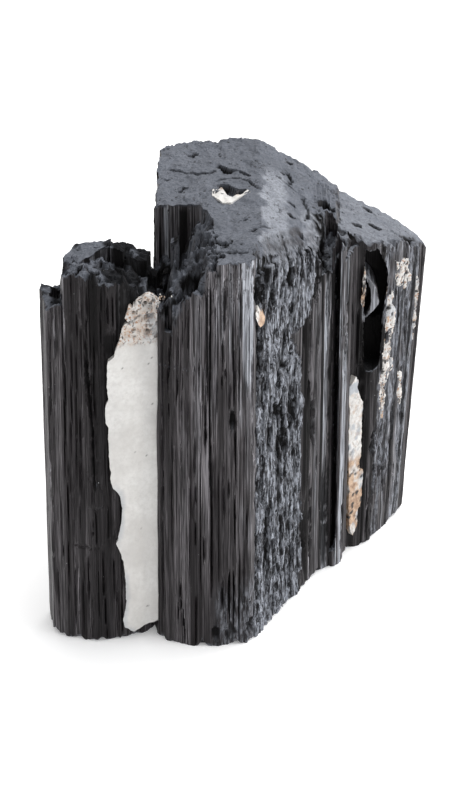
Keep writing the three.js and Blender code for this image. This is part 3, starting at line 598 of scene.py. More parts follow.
def skin(name):
    """The torn zone as a fine slab set into the right-hand face."""
    s0, s1, z0, z1, ds, dz = 18.9, 42.0, -1.5, 64.0, 0.27, 0.34
    S, Z = np.meshgrid(np.linspace(s0, s1, int((s1 - s0) / ds) + 1), np.linspace(z0, z1, int((z1 - z0) / dz) + 1))
    R = rough_zone(S, Z)
    D = torn_relief(S, Z) * sstep(0.05, 0.75, R) + 2.4 * (1 - sstep(0.0, 0.7, R))
    p, n = np.array([5.2, -24.7]), np.array([0.8861, -0.4637])
    d = np.array([0.4637, 0.8861])
    t = S - 20.52
    back = 3.2
    def at(off):
        return np.stack([p[0] + d[0] * t - n[0] * off, p[1] + d[1] * t - n[1] * off, Z], -1).reshape(-1, 3)
    V = np.concatenate([at(D), at(D * 0 + back)])
    ny, nx = S.shape
    o = nx * ny
    a = (np.arange(ny - 1)[:, None] * nx + np.arange(nx - 1)[None]).ravel()
    F = list(np.stack([a, a + 1, a + nx + 1, a + nx], -1)) + list(o + np.stack([a, a + nx, a + nx + 1, a + 1], -1))
    e = np.array(
        list(range(nx)) + [nx - 1 + k * nx for k in range(1, ny)]
        + [(ny - 1) * nx + k for k in range(nx - 2, -1, -1)] + [k * nx for k in range(ny - 2, 0, -1)]
    )
    f = np.roll(e, -1)
    F += list(np.stack([e, o + e, o + f, f], -1))
    return make(name, V, F)


def main_sheen(S, Z):
    """How much painted sheen each strip of the faces carries, 0 to 1: silvery highlights put into the colour."""
    k, r = knots(31, 0.35, 1.7, MAIN_ROUND)
    t0, t1 = r.uniform(0, 1, len(k)) ** 2.2, r.uniform(0, 1, len(k)) ** 2.2
    i = np.clip(np.searchsorted(k, S, side="right") - 1, 0, len(k) - 1)
    w = sstep(-6, 6, Z - 34 - 26 * (hsh(i, 0 * i, 33) * 2 - 1))
    t = 0.235 * (t0[i] * (1 - w) + t1[i] * w) * (1 - 0.28 * sstep(40, 26, Z) * (1 - sstep(19, 21, S)))
    t = t * (1 - 0.25 * sstep(10.5, 12, S) * (1 - sstep(16.0, 16.6, S)))
    # painted highlight along the edge where the front turns, strongest in its upper half, and paler painted panels
    # below it
    # painted, striated highlight below the rim of the front face
    t = np.maximum(t, 0.30 * sstep(11.5, 13.0, S + 0.05 * (62 - Z)) * (1 - sstep(19, 20, S)) * sstep(44, 56, Z) * (0.45 + 0.9 * np.abs(vnoise(S * 2.6, Z * 0.05, 38))))
    t = np.maximum(t, 0.045 * sstep(11.5, 13.0, S) * (1 - sstep(19, 20, S)) * (0.3 + 0.9 * np.abs(vnoise(S * 2.2, Z * 0.03, 39))))
    t = np.maximum(t, (0.22 * sstep(22, 32, Z) + 0.58 * sstep(44, 51, Z)) * sstep(16.4, 16.8, S) * (1 - sstep(18.8, 19.1, S)) * (0.72 + 0.45 * fbm(S * 3, Z * 0.12, 34, 2)))
    t = np.maximum(t, 0.30 * sstep(15.9, 16.2, S) * (1 - sstep(18.6, 18.9, S)) * (0.35 + 0.9 * np.abs(vnoise(S * 3.1, Z * 0.06, 40))) * (sstep(36, 42, Z) * (1 - sstep(46, 51, Z)) + sstep(14, 21, Z) * (1 - sstep(24, 30, Z))))
    # painted highlights in upright bands on the right-hand face beyond the torn zone
    c = S + 0.15 * vnoise(Z * 0.15, S * 0 + 2, 36)
    for a, b, v in [(39.6, 40.3, 0.22), (41.0, 42.4, 0.30), (43.5, 44.9, 0.50)]:
        t = np.maximum(t, v * sstep(a - 0.1, a + 0.1, c) * (1 - sstep(b - 0.1, b + 0.1, c)) * (0.65 + 0.5 * vnoise(S * 3.3, Z * 0.06, 35)))
    return t


def main_recess_shade(S, Z):
    """Painted shade: grooves, the slots of the torn zone, the rubble low on the front and upright bands on the
    right-hand face, the seam against the right crystal among them, painted near-black.
    """
    cut, _ = placed(S, Z, G_MAIN, 900)
    d = 0.9 * sstep(0.22, 0.55, cut)
    R = rough_zone(S, Z)
    D = torn_relief(S, Z)
    d = d * (1 - R) + R * sstep(0.20 - 0.07 * sstep(38, 50, Z), 0.62 - 0.10 * sstep(38, 50, Z), D)
    low = sstep(11.5, 14.0, S) * (1 - sstep(19.4, 20.2, S)) * (1 - sstep(6, 15, Z + 3 * vnoise(S * 0.8, Z * 0.2, 93)))
    d = np.maximum(d, 0.85 * low * sstep(0.12, 0.35, fbm(S * 0.9, Z * 0.45, 92, 3)))
    c = S + 0.2 * vnoise(Z * 0.2, S * 0 + 4, 37)
    for a, b, v, z0, z1 in [(37.2, 39.5, 0.85, 18, 53), (42.55, 43.3, 0.9, -5, 80), (45.0, 49.4, 1.0, -5, 80), (40.4, 40.9, 0.6, -5, 80), (38.2, 39.4, 0.7, -5, 18)]:
        d = np.maximum(d, v * sstep(a - 0.12, a + 0.12, c) * (1 - sstep(b - 0.12, b + 0.12, c)) * sstep(z0 - 2, z0 + 2, Z) * (1 - sstep(z1 - 2, z1 + 2, Z)) * (1 - 0.9 * R))
    return d


TOP_MARKS = [
    ("line", 0.40, 0.55, [(-8.7, 8.1), (-6.1, 7.3), (-4.2, 6.5), (-2.4, 6.1), (-1.8, 6.9)]),
    ("line", 0.50, 0.70, [(-0.9, 8.9), (0.5, 6.9), (2.4, 7.1), (3.7, 5.7)]),
    ("line", 0.30, 0.30, [(-1.4, 3.0), (-0.2, 4.0), (2.0, 4.4), (4.0, 3.0), (5.4, 0.6)]),
    ("pit", -5.5, 14.6, 0.60, 0.9), ("pit", -4.9, 15.3, 0.45, 0.6), ("pit", -6.3, 1.0, 0.62, 0.9), ("pit", -6.9, 0.3, 0.4, 0.5),
    ("pit", 3.1, -10.8, 0.34, 0.6), ("pit", 10.6, 17.4, 0.55, 0.8), ("pit", 9.4, 11.3, 0.5, 0.7), ("pit", 10.5, 0.9, 0.6, 0.8),
    ("pit", 10.4, -3.8, 0.6, 0.8), ("pit", 12.1, -6.7, 0.4, 0.5), ("pit", 11.9, -9.3, 0.4, 0.5), ("pit", -1.4, -16.7, 0.6, 0.6),
    ("pit", -0.1, -20.6, 0.45, 0.7), ("pit", -0.5, -23.9, 0.6, 0.9), ("pit", 16.2, 8.0, 1.3, 2.4), ("pit", -9.2, 4.6, 0.4, 0.5),
    ("line", 0.35, 0.45, [(3.8, -15.6), (5.2, -13.8), (6.6, -12.4)]), ("line", 0.30, 0.35, [(10.1, 12.6), (10.8, 10.4), (10.4, 8.7)]),
    ("line", 0.30, 0.40, [(11.6, -10.4), (12.4, -13.6)]), ("line", 0.25, 0.35, [(8.9, -12.4), (10.1, -14.8)]),
    ("line", 0.30, 0.30, [(-2.6, -21.9), (0.4, -22.3), (3.2, -23.4)]), ("line", 0.35, 0.40, [(-1.9, -18.0), (-0.6, -19.5), (0.8, -19.9)]),
    ("line", 0.28, 0.30, [(12.4, 6.4), (13.2, 2.4), (13.0, -1.6)]), ("line", 0.28, 0.35, [(8.2, 9.4), (9.6, 8.0), (11.2, 7.5)]),
]


def pocket(X, Y):
    """Hollow of the flat top beside the white lump, with three deep holes."""
    e = inside([(-0.9, 0.8), (-0.3, -0.9), (0.2, -2.2), (1.2, -2.5), (2.3, -1.7), (3.6, -0.3), (3.3, 0.6), (2.3, 0.1), (1.4, 0.7), (0.3, 2.1)], X, Y)
    z = 1.6 * sstep(-0.1, 0.35, e + 0.2 * vnoise(X * 1.3, Y * 1.3, 50))
    for x, y, r, d in [(-0.4, 1.2, 0.8, 2.6), (0.85, -0.95, 1.0, 3.0), (2.75, -0.2, 0.8, 2.4)]:
        z = z + d * np.clip(2.0 * (1 - np.hypot(X - x, Y - y) / r), 0, 1)
    return z


def main_top(X, Y):
    z = 67.5 - np.maximum(0, X - 5.6) * 0.56
    across = (X - 5.1) * 0.885 - (Y + 24.9) * 0.465
    z -= np.where(X > 5, np.maximum(0, 3.2 + across) * 0.75, 0)
    # gentle stepped cleavage and fine grain
    z += breaks(X, Y, 41, 4.2, 0.75, 0.35) * (1 - 0.4 * sstep(5, 7, X)) + 0.16 * fbm(X * 0.35, Y * 0.35, 42, 3)
    z += 0.07 * fbm(X * 1.7, Y * 1.7, 43, 3) + 0.10 * facets2d(X, Y * 0.6, 2.6, 51) + 0.05 * facets2d(X, Y * 0.7, 1.1, 52)
    z += 0.16 * facets2d(X * 0.8, Y * 0.5, 1.6, 54) * sstep(10.5, 12.5, X)
    # stepped, striated patch high on the sloping face by the back
    p = sstep(13.6, 14.6, X + 0.5 * vnoise(Y * 0.6, Y * 0, 44)) * sstep(-0.5, 1.2, Y) * (1 - sstep(15.0, 16.5, Y))
    saw = (X * 1.15 + 0.3 * vnoise(Y * 0.4, X * 0.4, 45)) % 1.0
    z += p * (0.55 * saw - 0.35)
    # a shallow trough beside the smooth band of the sloping face
    z -= 0.55 * np.exp(-(((X - 11.9 - 0.5 * vnoise(Y * 0.3, Y * 0, 46)) / 1.0) ** 2)) * sstep(-13, -10, Y) * (1 - sstep(6, 10, Y))
    # torn corner above the right-hand face
    t = sstep(-3.4, -0.9, across + 0.9 * fbm(X * 0.5, Y * 0.5, 47, 2)) * sstep(5.5, 8, X)
    z += t * (0.9 * fbm(X * 0.9, Y * 0.9, 48, 4, 0.65) - 0.2)
    q = sstep(13.2, 15.0, X + 0.06 * Y) * (1 - sstep(0, 3, Y)) * sstep(5, 8, X)
    z += q * (1.1 * fbm(X * 0.8, Y * 0.8, 49, 4, 0.65) - 0.5)
    z -= pocket(X, Y)
    # back and right-hand rims break down in steps
    z -= chipped_rim(MAIN, X, Y, 53, 1.3, 0.7, 0.45) * sstep(2, 8, X + 0.5 * Y)
    z -= chipped_rim(MAIN, X, Y, 55, 1.1, 0.75, 0.9)
    z += 0.10 * fbm(X * 3.1, Y * 3.1, 56, 2)
    return z - cracks(X, Y, TOP_MARKS)


def chipped_rim(pts, X, Y, seed, reach=1.0, depth=1.0, scale=0.6):
    """How much the broken edge of a top has crumbled away."""
    e = inside(pts, X, Y)
    n = fbm(X * scale, Y * scale, seed, 3, 0.6)
    c = np.clip((reach * (0.25 + 1.5 * n) - e) / reach, 0, 1.4)
    return depth * c + 0.3 * depth * (c > 0.02) * sstep(0.0, 0.15, c)


def chipped_foot(pts, seed, reach=1.4, depth=2.2):
    """Height of a broken lower end: flat in the middle, chipped at its rim."""
    def foot(X, Y):
        e = inside(pts, X, Y)
        n = fbm(X * 0.55, Y * 0.55, seed, 3, 0.6)
        rim = np.clip((reach * (0.5 + 0.9 * n) - e) / reach, 0, 2.0)
        body = 0.25 * np.clip(fbm(X * 0.2, Y * 0.2, seed + 1, 2) + 0.1, 0, 1)
        return np.where(e < 2.5, depth * rim * np.clip(n + 0.35, 0, 1), 0) + body * sstep(2.2, 4.0, e)
    return foot


def main_spacing():
    sp = [0.17] * 9 + [0.3] + [0.3] * 2 + [0.5] * 11
    return sp


def flute(seed, total, amp=0.3, lo=0.5, hi=1.6, rag=0.0):
    def f(S, Z):
        D = facets(S, Z, seed, lo, hi, amp, total, 0.3) + strips(S, Z, seed + 1, 0.4, 1.4, amp * 0.9, total) + lines(S, Z, seed + 2, 0.45, 0.1, total)
        if rag:
            D = D + rag * (fbm(S * 0.5, Z * 0.45, seed + 3, 4, 0.6) * 1.6)
        return -D
    return f


def cutter(name, pts, z0, z1, seed, amp=0.25, floor=0.0, spacing=0.3, grain=1.3, slope=(0, 0), rag=0.0):
    """Fluted prism for taking a bay out of a crystal, with an uneven floor."""
    P = np.asarray(pts, float)
    total = float(np.sum(np.hypot(*(np.roll(P, -1, 0) - P).T))) + 1
    w = wall(name, pts, z0 - 3.5 if floor else z0, z1, flute(seed, total, amp, rag=rag) if amp else None, spacing, 0.45 if rag else 0.7)
    if not floor:
        return w
    x0, y0 = P.min(0) - 1.5
    x1, y1 = P.max(0) + 1.5
    b = block(name + "_f", x0, y0, x1, y1, 0.32, z1 + 2, lambda X, Y: z0 + slope[0] * (X - x0) + slope[1] * (Y - y0) + floor * (fbm(X / grain, Y / grain, seed + 5, 4, 0.6) + 0.35 * breaks(X, Y, seed + 6, 1.5, 2.0, 1.0)))
    return carve(w, ("INTERSECT", b))


def torn_block(name, x0, y0, x1, y1, zt, z0, seed, amp=0.4, step=0.3):
    return block(name, x0, y0, x1, y1, step, lambda X, Y: zt + amp * fbm(X * 0.8, Y * 0.8, seed, 4, 0.6), z0)


def slanted(name, pts, z0, zt, seed, amp=0.25, relief=0.12, spacing=0.28):
    """A standing sliver or block with a broken top zt(x, y)."""
    P = np.asarray(pts, float)
    total = float(np.sum(np.hypot(*(np.roll(P, -1, 0) - P).T))) + 1
    f = zt if callable(zt) else (lambda X, Y: X * 0 + zt)
    w = wall(name, pts, z0, float(np.max(f(P[:, 0], P[:, 1]))) + 4, lambda S, Z: facets(S, Z, seed, 0.4, 1.3, relief, total) + 0.1 * fbm(S, Z * 0.5, seed + 1, 3), spacing, 0.5)
    x0, y0 = P.min(0) - 1
    x1, y1 = P.max(0) + 1
    b = block(name + "_t", x0, y0, x1, y1, 0.28, lambda X, Y: f(X, Y) + amp * fbm(X * 0.9, Y * 0.9, seed + 2, 4, 0.6), z0 + 0.4)
    return carve(w, ("INTERSECT", b))


NOTCH_HEIGHTS = [  # (x, y, z) through the broken corner
    (-11, -24, 58.6), (-9.9, -25.8, 60.2), (-8.3, -26.6, 59.5), (-7.4, -27.2, 59.7), (-6.2, -27.4, 60.6), (-5.6, -27.6, 61.8), (-3.8, -27.8, 62.8), (-2.7, -27.9, 64.4), (-1.4, -27.9, 66.2),
    (-9.6, -24, 58.6), (-8, -24.6, 60.0), (-6.9, -24.6, 60.3), (-5.5, -24, 57.8), (-4.3, -24.0, 58.4), (-3.2, -25, 64.8), (-2, -25, 66.8), (-0.8, -25, 67.4),
    (-9.8, -21, 57.6), (-8.1, -21.4, 61.3), (-6.5, -20, 62.9), (-4.9, -19.4, 64.6), (-3.4, -19.6, 66.2), (-2.1, -19.5, 67.1), (-0.8, -20, 67.4), (-2.0, -22.3, 67.0),
    (-9.4, -17.5, 55.6), (-7, -17.3, 56.5), (-5.8, -16.8, 57.0), (-4.4, -17.0, 60.4), (-3.2, -17.0, 61.0), (-2, -17, 66.8), (-1.0, -17, 67.4),
    (-9.4, -13, 55.4), (-7.2, -14, 55.8), (-5.8, -13.5, 61.2), (-4.6, -13, 64.2), (-3.2, -12.5, 66.2), (-2.3, -12, 67.2), (-1.2, -12, 67.4), (-2.6, -14.6, 66.8),
    (-6.3, -10, 59.5), (-5.0, -9.6, 63.2), (-3.9, -9.4, 65.0), (-2.7, -9.2, 66.6), (-5.2, -7.0, 60.5), (-3.4, -8.0, 64.2), (-1.6, -8, 67.2), (-9.2, -9, 55.6), (-7.2, -7.5, 56.5), (-4.4, -6.4, 62.0), (-3.2, -6.6, 63.5),
]


def facets2d(X, Y, cell, seed, tilt=0.6):
    """Flat facets of broken stone, each at its own height and slant."""
    i0, j0 = np.floor(X / cell).astype(np.int64), np.floor(Y / cell).astype(np.int64)
    best, out = np.full(np.shape(X), 1e9), np.zeros(np.shape(X))
    for di in (-1, 0, 1):
        for dj in (-1, 0, 1):
            i, j = i0 + di, j0 + dj
            cx, cy = (i + hsh(i, j, seed)) * cell, (j + hsh(i, j, seed + 1)) * cell
            d = np.hypot(X - cx, Y - cy)
            v = (hsh(i, j, seed + 2) * 2 - 1) + tilt * ((hsh(i, j, seed + 3) * 2 - 1) * (X - cx) + (hsh(i, j, seed + 4) * 2 - 1) * (Y - cy)) / cell * 2
            out = np.where(d < best, v, out)
            best = np.minimum(best, d)
    return out


def notch_height(X, Y):
    P = np.asarray(NOTCH_HEIGHTS, float)
    num, den = 0.0, 0.0
    wx, wy = X + 0.5 * vnoise(X * 0.9, Y * 0.9, 141), Y + 0.5 * vnoise(X * 0.9 + 9, Y * 0.9, 142)
    for x, y, z in P:
        w = 1.0 / (((wx - x) ** 2 + ((wy - y) * 0.75) ** 2) ** 2 + 0.02)
        num, den = num + w * z, den + w
    z = num / den
    z = z + 0.85 * facets2d(X, Y, 2.4, 143, 0.9) + 0.50 * facets2d(X, Y, 1.1, 145, 0.9) + 0.30 * fbm(X * 1.3, Y * 1.3, 147, 4, 0.6)
    return np.minimum(z, main_top(X, Y) + 0.02 * X)


def build_main():
    w = wall("main", MAIN, -3, 70, main_relief, main_spacing(), 0.6)
    b = block("main_b", -13, -29.6, 20.5, 22.4, 0.29, main_top, chipped_foot(MAIN, 61, 1.5, 2.0))
    steps = [("UNION", skin("torn")), ("INTERSECT", b)]
    # deep notch beside the left crystal, its walls fluted
    notch = cutter("notch", [(-16, -21.8), (-8.6, -21.8), (-6.0, -20.0), (-5.4, -14.4), (-6.3, -7.4), (-8.2, -5.4), (-16, -3.8)], 53.0, 80, 101, 0.4, 1.1, 0.26)
    clear = wall("clear", [(-13, -30), (-1.3, -30), (-1.2, -24.5), (-1.5, -18.6), (-1.9, -12.2), (-2.9, -7.8), (-4.2, -5.6), (-8.2, -5.4), (-13, -6.6)], 50, 80, flute(151, 90, 0.32), 0.28, 0.8)
    slot = cutter("slot", [(-9.2, -29), (-8.0, -29), (-8.1, -24.0), (-9.1, -24.0)], 55.4, 80, 115, 0.12, 0.8, 0.22)
    w["keep"] = 1
    rubble = carve(block("rubble", -12, -28.3, -0.6, -4.6, 0.22, notch_height, 49.5), ("INTERSECT", w))
    del w["keep"]
    for c in (notch, clear):
        steps.append(("DIFFERENCE", c))
    steps += [("UNION", rubble), ("DIFFERENCE", slot)]
    # slabs missing from the left flank
    steps.append(("DIFFERENCE", cutter("flank1", [(-14, 7.0), (-10.75, 7.0), (-10.5, 22), (-14, 22)], 60.4, 80, 117, 0.15, 0.5, rag=0.3)))
    steps.append(("DIFFERENCE", cutter("flank2", [(-14, -4.2), (-10.85, -4.2), (-10.70, 7.4), (-14, 7.4)], 57.0, 80, 119, 0.15, 0.6, rag=0.3)))
    # open pocket at the seam with the right crystal
    steps.append(("DIFFERENCE", cutter("pocket", [(14.4, -4.8), (22, -8), (22, 6.0), (18.4, 5.4), (17.2, 6.3), (16.0, 5.2), (15.6, 1.6)], 54.2, 80, 121, 0.25, 1.3, 0.22, 0.8, (0, 0.16), 0.45)))
    # column left standing at the front corner of the notch, and one beside it
    body = carve(w, *steps)
    adds = [
        slanted("col1", [(-8.5, -13.7), (-7.3, -13.9), (-7.1, -12.4), (-8.3, -12.1)], 50, lambda X, Y: 65.0 + 0.5 * (X + 8), 131, 0.3, 0.10),
        slanted("col2", [(-9.6, -15.2), (-8.9, -15.4), (-8.8, -14.2), (-9.5, -14.0)], 50, lambda X, Y: 60.5 + 0.5 * (X + 9), 133, 0.4, 0.10),
    ]
    return carve(body, *[("UNION", a) for a in adds])


# ------------------------------------------------------------------ left crystal
def left_relief(S, Z):
    D = facets(S, Z, 211, 0.9, 2.6, 0.18, LEFT_ROUND) + facets(S, Z, 212, 0.3, 0.8, 0.05, LEFT_ROUND)
    D += strips(S, Z, 213, 0.6, 2.2, 0.22, LEFT_ROUND) + strips(S, Z, 214, 0.3, 0.8, 0.06, LEFT_ROUND, 0.6)
    D += lines(S, Z, 215, 0.42, 0.13, LEFT_ROUND) + scored(S, Z, 216, 2.4, 0.34, 0.42, LEFT_ROUND, 25, 80) + 0.025 * fbm(S * 4, Z * 0.35, 217, 3)
    cut, lift = placed(S, Z, G_LEFT, 1900)
    D = D + cut - lift
    # flake whose point stands clear half way up
    a = (Z - (30.6 - 1.35 * (S - 14.2))) / 0.9
    fl = sstep(14.0, 14.3, S) * (1 - sstep(16.6, 16.9, S)) * sstep(-1, 0, -a) * sstep(24.6, 25.4, Z)
    D -= 0.45 * fl
    # cross fracture low on the face
    D += 0.3 * np.exp(-(((Z - 17.4 - 0.4 * fbm(S * 0.8, S * 0, 219, 3)) / 0.28) ** 2)) * sstep(11.0, 12.2, S) * (1 - sstep(16.4, 17, S))
    # swelling beside the vein
    D -= 0.3 * np.exp(-(((S - 18.2) / 1.2) ** 2)) * sstep(18, 21, Z) * (1 - sstep(25, 29, Z))
    D += 0.4 * np.clip(fbm(S * 1.4, Z * 0.8, 225, 3), 0, 1) * sstep(55, 61, Z)
    return D


def left_sheen(S, Z):
    k, r = knots(231, 0.35, 1.6, LEFT_ROUND)
    t0, t1 = r.uniform(0, 1, len(k)) ** 2.2, r.uniform(0, 1, len(k)) ** 2.2
    i = np.clip(np.searchsorted(k, S, side="right") - 1, 0, len(k) - 1)
    w = sstep(-6, 6, Z - 30 - 26 * (hsh(i, 0 * i, 233) * 2 - 1))
    t = 0.22 * (t0[i] * (1 - w) + t1[i] * w)
    # painted shade: weaker sheen beside the large seam
    t *= 1 - 0.75 * sstep(14.6, 15.6, S) * (1 - sstep(19, 20, S))
    t = np.maximum(t, 0.17 * (1 - sstep(2.6, 3.6, S + 0.4 * vnoise(Z * 0.2, S * 0, 237))) * sstep(34, 44, Z) * np.clip(0.7 + 0.9 * fbm(S * 0.7, Z * 0.14, 238, 3), 0, 1.3))
    return np.maximum(t, 0.12 * (1 - sstep(9.6, 10.6, S)) * (0.7 + 0.5 * fbm(S * 1.2, Z * 0.12, 234, 3)))


def left_recess_shade(S, Z):
    # painted shade in the grooves
    cut, _ = placed(S, Z, G_LEFT, 1900)
    d = 0.9 * sstep(0.22, 0.55, cut)
    # painted shade beside the large seam
    return np.maximum(d, 0.6 * sstep(14.4, 15.6, S + 0.3 * vnoise(Z * 0.3, S * 0, 236)) * (1 - sstep(17.6, 18.6, S)) * (0.6 + 0.6 * vnoise(S * 2.1, Z * 0.05, 235)))


LEFT_MARKS = [
    ("line", 0.35, 0.5, [(-20.9, -22.6), (-20.2, -23.4), (-19.3, -23.1)]), ("line", 0.30, 0.4, [(-24.0, -19.6), (-22.2, -20.4), (-20.8, -19.4)]),
    ("pit", -20.4, -17.8, 0.35, 0.4), ("pit", -19.0, -17.9, 0.35, 0.4), ("pit", -19.1, -19.8, 0.35, 0.4), ("pit", -19.1, -23.8, 0.3, 0.4),
    ("line", 0.40, 0.6, [(-18.6, -15.6), (-17.4, -18.2), (-16.4, -20.6)]), ("line", 0.35, 0.5, [(-22.6, -24.4), (-22.0, -22.8)]),
]


def left_top(X, Y):
    z = 64.8 - 0.33 * np.maximum(0, X + 21) - 0.1 * (Y + 26)
    z += breaks(X, Y, 241, 2.6, 1.1, 0.9) + 0.3 * fbm(X * 0.5, Y * 0.5, 242, 4, 0.6) + 0.45 * facets2d(X, Y, 1.9, 244, 0.8) + 0.22 * facets2d(X, Y, 0.9, 246, 0.8)
    z -= chipped_rim(LEFT, X, Y, 248, 0.7, 0.45, 0.9)
    z -= 0.9 * sstep(-15.5, -13.6, X) * np.clip(fbm(X * 0.7, Y * 0.7, 243, 3) + 0.4, 0, 1)
    return z - cracks(X, Y, LEFT_MARKS)


def build_left(vein, middle):
    w = wall("left", LEFT, -3, 72, left_relief, [0.3, 0.24] + [0.2] * 6 + [0.25] + [0.4] * 6, 0.45)
    b = block("left_b", -30.5, -28.4, -9.5, -9.8, 0.27, left_top, chipped_foot(LEFT, 261, 1.5, 2.2))
    steps = [("INTERSECT", b)]
    steps.append(("DIFFERENCE", cutter("lslab", [(-32, -30), (-25.1, -30), (-24.8, -20), (-24.2, -14), (-32, -14)], 59.0, 80, 301, 0.3, 0.9, 0.28, 0.9, rag=0.35)))
    steps.append(("DIFFERENCE", cutter("lpit", [(-27.0, -21.4), (-25.3, -21.6), (-25.1, -18.2), (-26.8, -18.0)], 56.6, 80, 303, 0.25, 0.6, 0.25, rag=0.4)))
    steps.append(("DIFFERENCE", cutter("lstep", [(-13.6, -27), (-9, -27), (-9, -15.2), (-12.6, -15.2), (-13.4, -18.4)], 58.0, 80, 305, 0.3, 1.0, 0.28, rag=0.5)))
    body = carve(w, *steps)
    adds = [
        slanted("lshard", [(-23.6, -14.7), (-17.9, -14.5), (-18.0, -12.1), (-23.2, -12.3)], 57, lambda X, Y: np.interp(X, [-23.6, -23.3, -21.4, -20.2, -17.9], [61.2, 62.6, 63.7, 64.4, 64.3]), 311, 0.3, 0.2),
        slanted("lplate", [(-24.6, -20.0), (-21.2, -17.2), (-18.4, -14.4), (-17.6, -12.6), (-23.2, -12.6), (-25.0, -16.2)], 57, lambda X, Y: 64.5 + 0.10 * (Y + 13) + 0.14 * (X + 20), 313, 0.35, 0.2),
        slanted("lblock1", [(-17.6, -15.2), (-15.8, -16.0), (-15.2, -12.4), (-17.4, -11.9)], 55, lambda X, Y: 64.3 - 0.3 * (X + 17) - 0.2 * (Y + 13), 315, 1.1, 0.45),
        slanted("lblock2", [(-15.6, -16.4), (-12.0, -16.0), (-11.6, -12.8), (-15.2, -11.8)], 53, lambda X, Y: 63.2 - 0.12 * (X + 13) + 0.1 * (Y + 14), 317, 1.3, 0.5),
        slanted("lblock3", [(-14.4, -21.6), (-12.2, -21.0), (-12.0, -17.6), (-14.6, -17.8)], 50, lambda X, Y: 60.2 + 0.3 * (Y + 19), 319, 0.8, 0.3),
        slanted("lshoulder", [(-21.5, -15.2), (-10.8, -14.5), (-10.8, -4.5), (-14.6, -2.6), (-18.6, -4.4)], 0.0, lambda X, Y: 47.5 - 0.25 * (Y + 10), 321, 1.3, 0.35, 0.4),
    ]
    body = carve(body, *[("UNION", a) for a in adds])
    trim = block("ltrim", -10.6, -30, -5, -2, 3, 80, -2)
    vein["keep"] = 1
    return carve(body, ("DIFFERENCE", trim), ("DIFFERENCE", middle), ("DIFFERENCE", vein))


# ------------------------------------------------------------------ right crystal
def right_relief(S, Z):
    tight = sstep(37.0, 37.6, S)
    D = facets(S, Z, 411, 0.8, 2.2, 0.16, RIGHT_ROUND) + facets(S, Z, 412, 0.3, 0.8, 0.05, RIGHT_ROUND)
    D += strips(S, Z, 413, 0.5, 1.8, 0.25, RIGHT_ROUND) + lines(S, Z, 415, 0.5, 0.16, RIGHT_ROUND) + scored(S, Z, 416, 1.6, 0.45, 0.5, RIGHT_ROUND, 20, 70) + 0.03 * fbm(S * 4, Z * 0.35, 417, 3)
    cut, lift = placed(S, Z, G_RIGHT, 2900)
    # torn patch behind the white crusts
    R = right_rough(S, Z)
    D += R * (splinters(S, Z, 421, 0.9, 3.2, 0.22) + splinters(S, Z, 422, 0.4, 1.2, 0.12) - 0.1)
    return (D + cut - lift) * (1 - 0.85 * tight)


def right_rough(S, Z):
    return sstep(11.6, 12.6, S + 0.5 * fbm(S * 0.5, Z * 0.4, 431, 3)) * (1 - sstep(23, 24.5, S)) * sstep(-0.25, 0.35, fbm(S * 0.35, Z * 0.12, 432, 3) + 0.25)


def right_sheen(S, Z):
    k, r = knots(435, 0.35, 1.5, RIGHT_ROUND)
    t0, t1 = r.uniform(0, 1, len(k)) ** 1.8, r.uniform(0, 1, len(k)) ** 1.8
    i = np.clip(np.searchsorted(k, S, side="right") - 1, 0, len(k) - 1)
    w = sstep(-6, 6, Z - 28 - 22 * (hsh(i, 0 * i, 437) * 2 - 1))
    t = 0.15 * (t0[i] * (1 - w) + t1[i] * w)
    # painted highlights in upright bands
    c = S + 0.2 * vnoise(Z * 0.15, S * 0 + 2, 438)
    for a, b, v in [(1.3, 2.2, 0.80), (2.5, 4.2, 0.68), (5.2, 6.6, 0.16), (11.5, 12.0, 0.30), (13.6, 14.4, 0.22), (17.3, 18.2, 0.38), (20.4, 21.6, 0.48), (23.3, 24.3, 0.50)]:
        t = np.maximum(t, v * sstep(a - 0.15, a + 0.15, c) * (1 - sstep(b - 0.15, b + 0.15, c)) * (0.65 + 0.5 * vnoise(S * 3.1, Z * 0.07, 439)))
    return t


def right_recess_shade(S, Z):
    cut, _ = placed(S, Z, G_RIGHT, 2900)
    d = 0.9 * sstep(0.22, 0.55, cut)
    # painted shade in upright bands, the first along the seam against the middle crystal
    c = S + 0.25 * vnoise(Z * 0.2, S * 0 + 4, 433)
    for a, b, v in [(-1, 1.0, 0.9), (4.5, 5.0, 0.8), (6.9, 7.3, 0.7), (8.3, 9.3, 0.8), (10.2, 11.3, 0.9), (12.0, 13.3, 0.85), (16.4, 17.2, 0.8), (18.7, 20.1, 0.9), (21.8, 22.9, 0.8)]:
        d = np.maximum(d, v * sstep(a - 0.15, a + 0.15, c) * (1 - sstep(b - 0.15, b + 0.15, c)) * (0.75 + 0.5 * vnoise(S * 2.3, Z * 0.06, 434)))
    # painted shade in a black groove that runs on down from the cavity
    run = sstep(9.2, 9.6, c) * (1 - sstep(11.3, 11.8, c)) * sstep(9, 16, Z + 3 * vnoise(S * 1.9, Z * 0, 445)) * (1 - sstep(35, 37, Z))
    return np.maximum(d, 0.92 * run * (0.8 + 0.4 * vnoise(S * 3.7, Z * 0.05, 447)))


RIGHT_MARKS = [
    ("pit", 22.4, 16.5, 0.55, 0.8), ("pit", 20.8, 8.4, 0.62, 1.0), ("pit", 23.1, 10.8, 0.70, 1.1), ("pit", 27.8, 13.1, 0.45, 0.5), ("pit", 23.7, 11.1, 0.45, 0.8),
    ("line", 0.25, 0.3, [(26.8, 12.2), (28.6, 14.4)]),
]


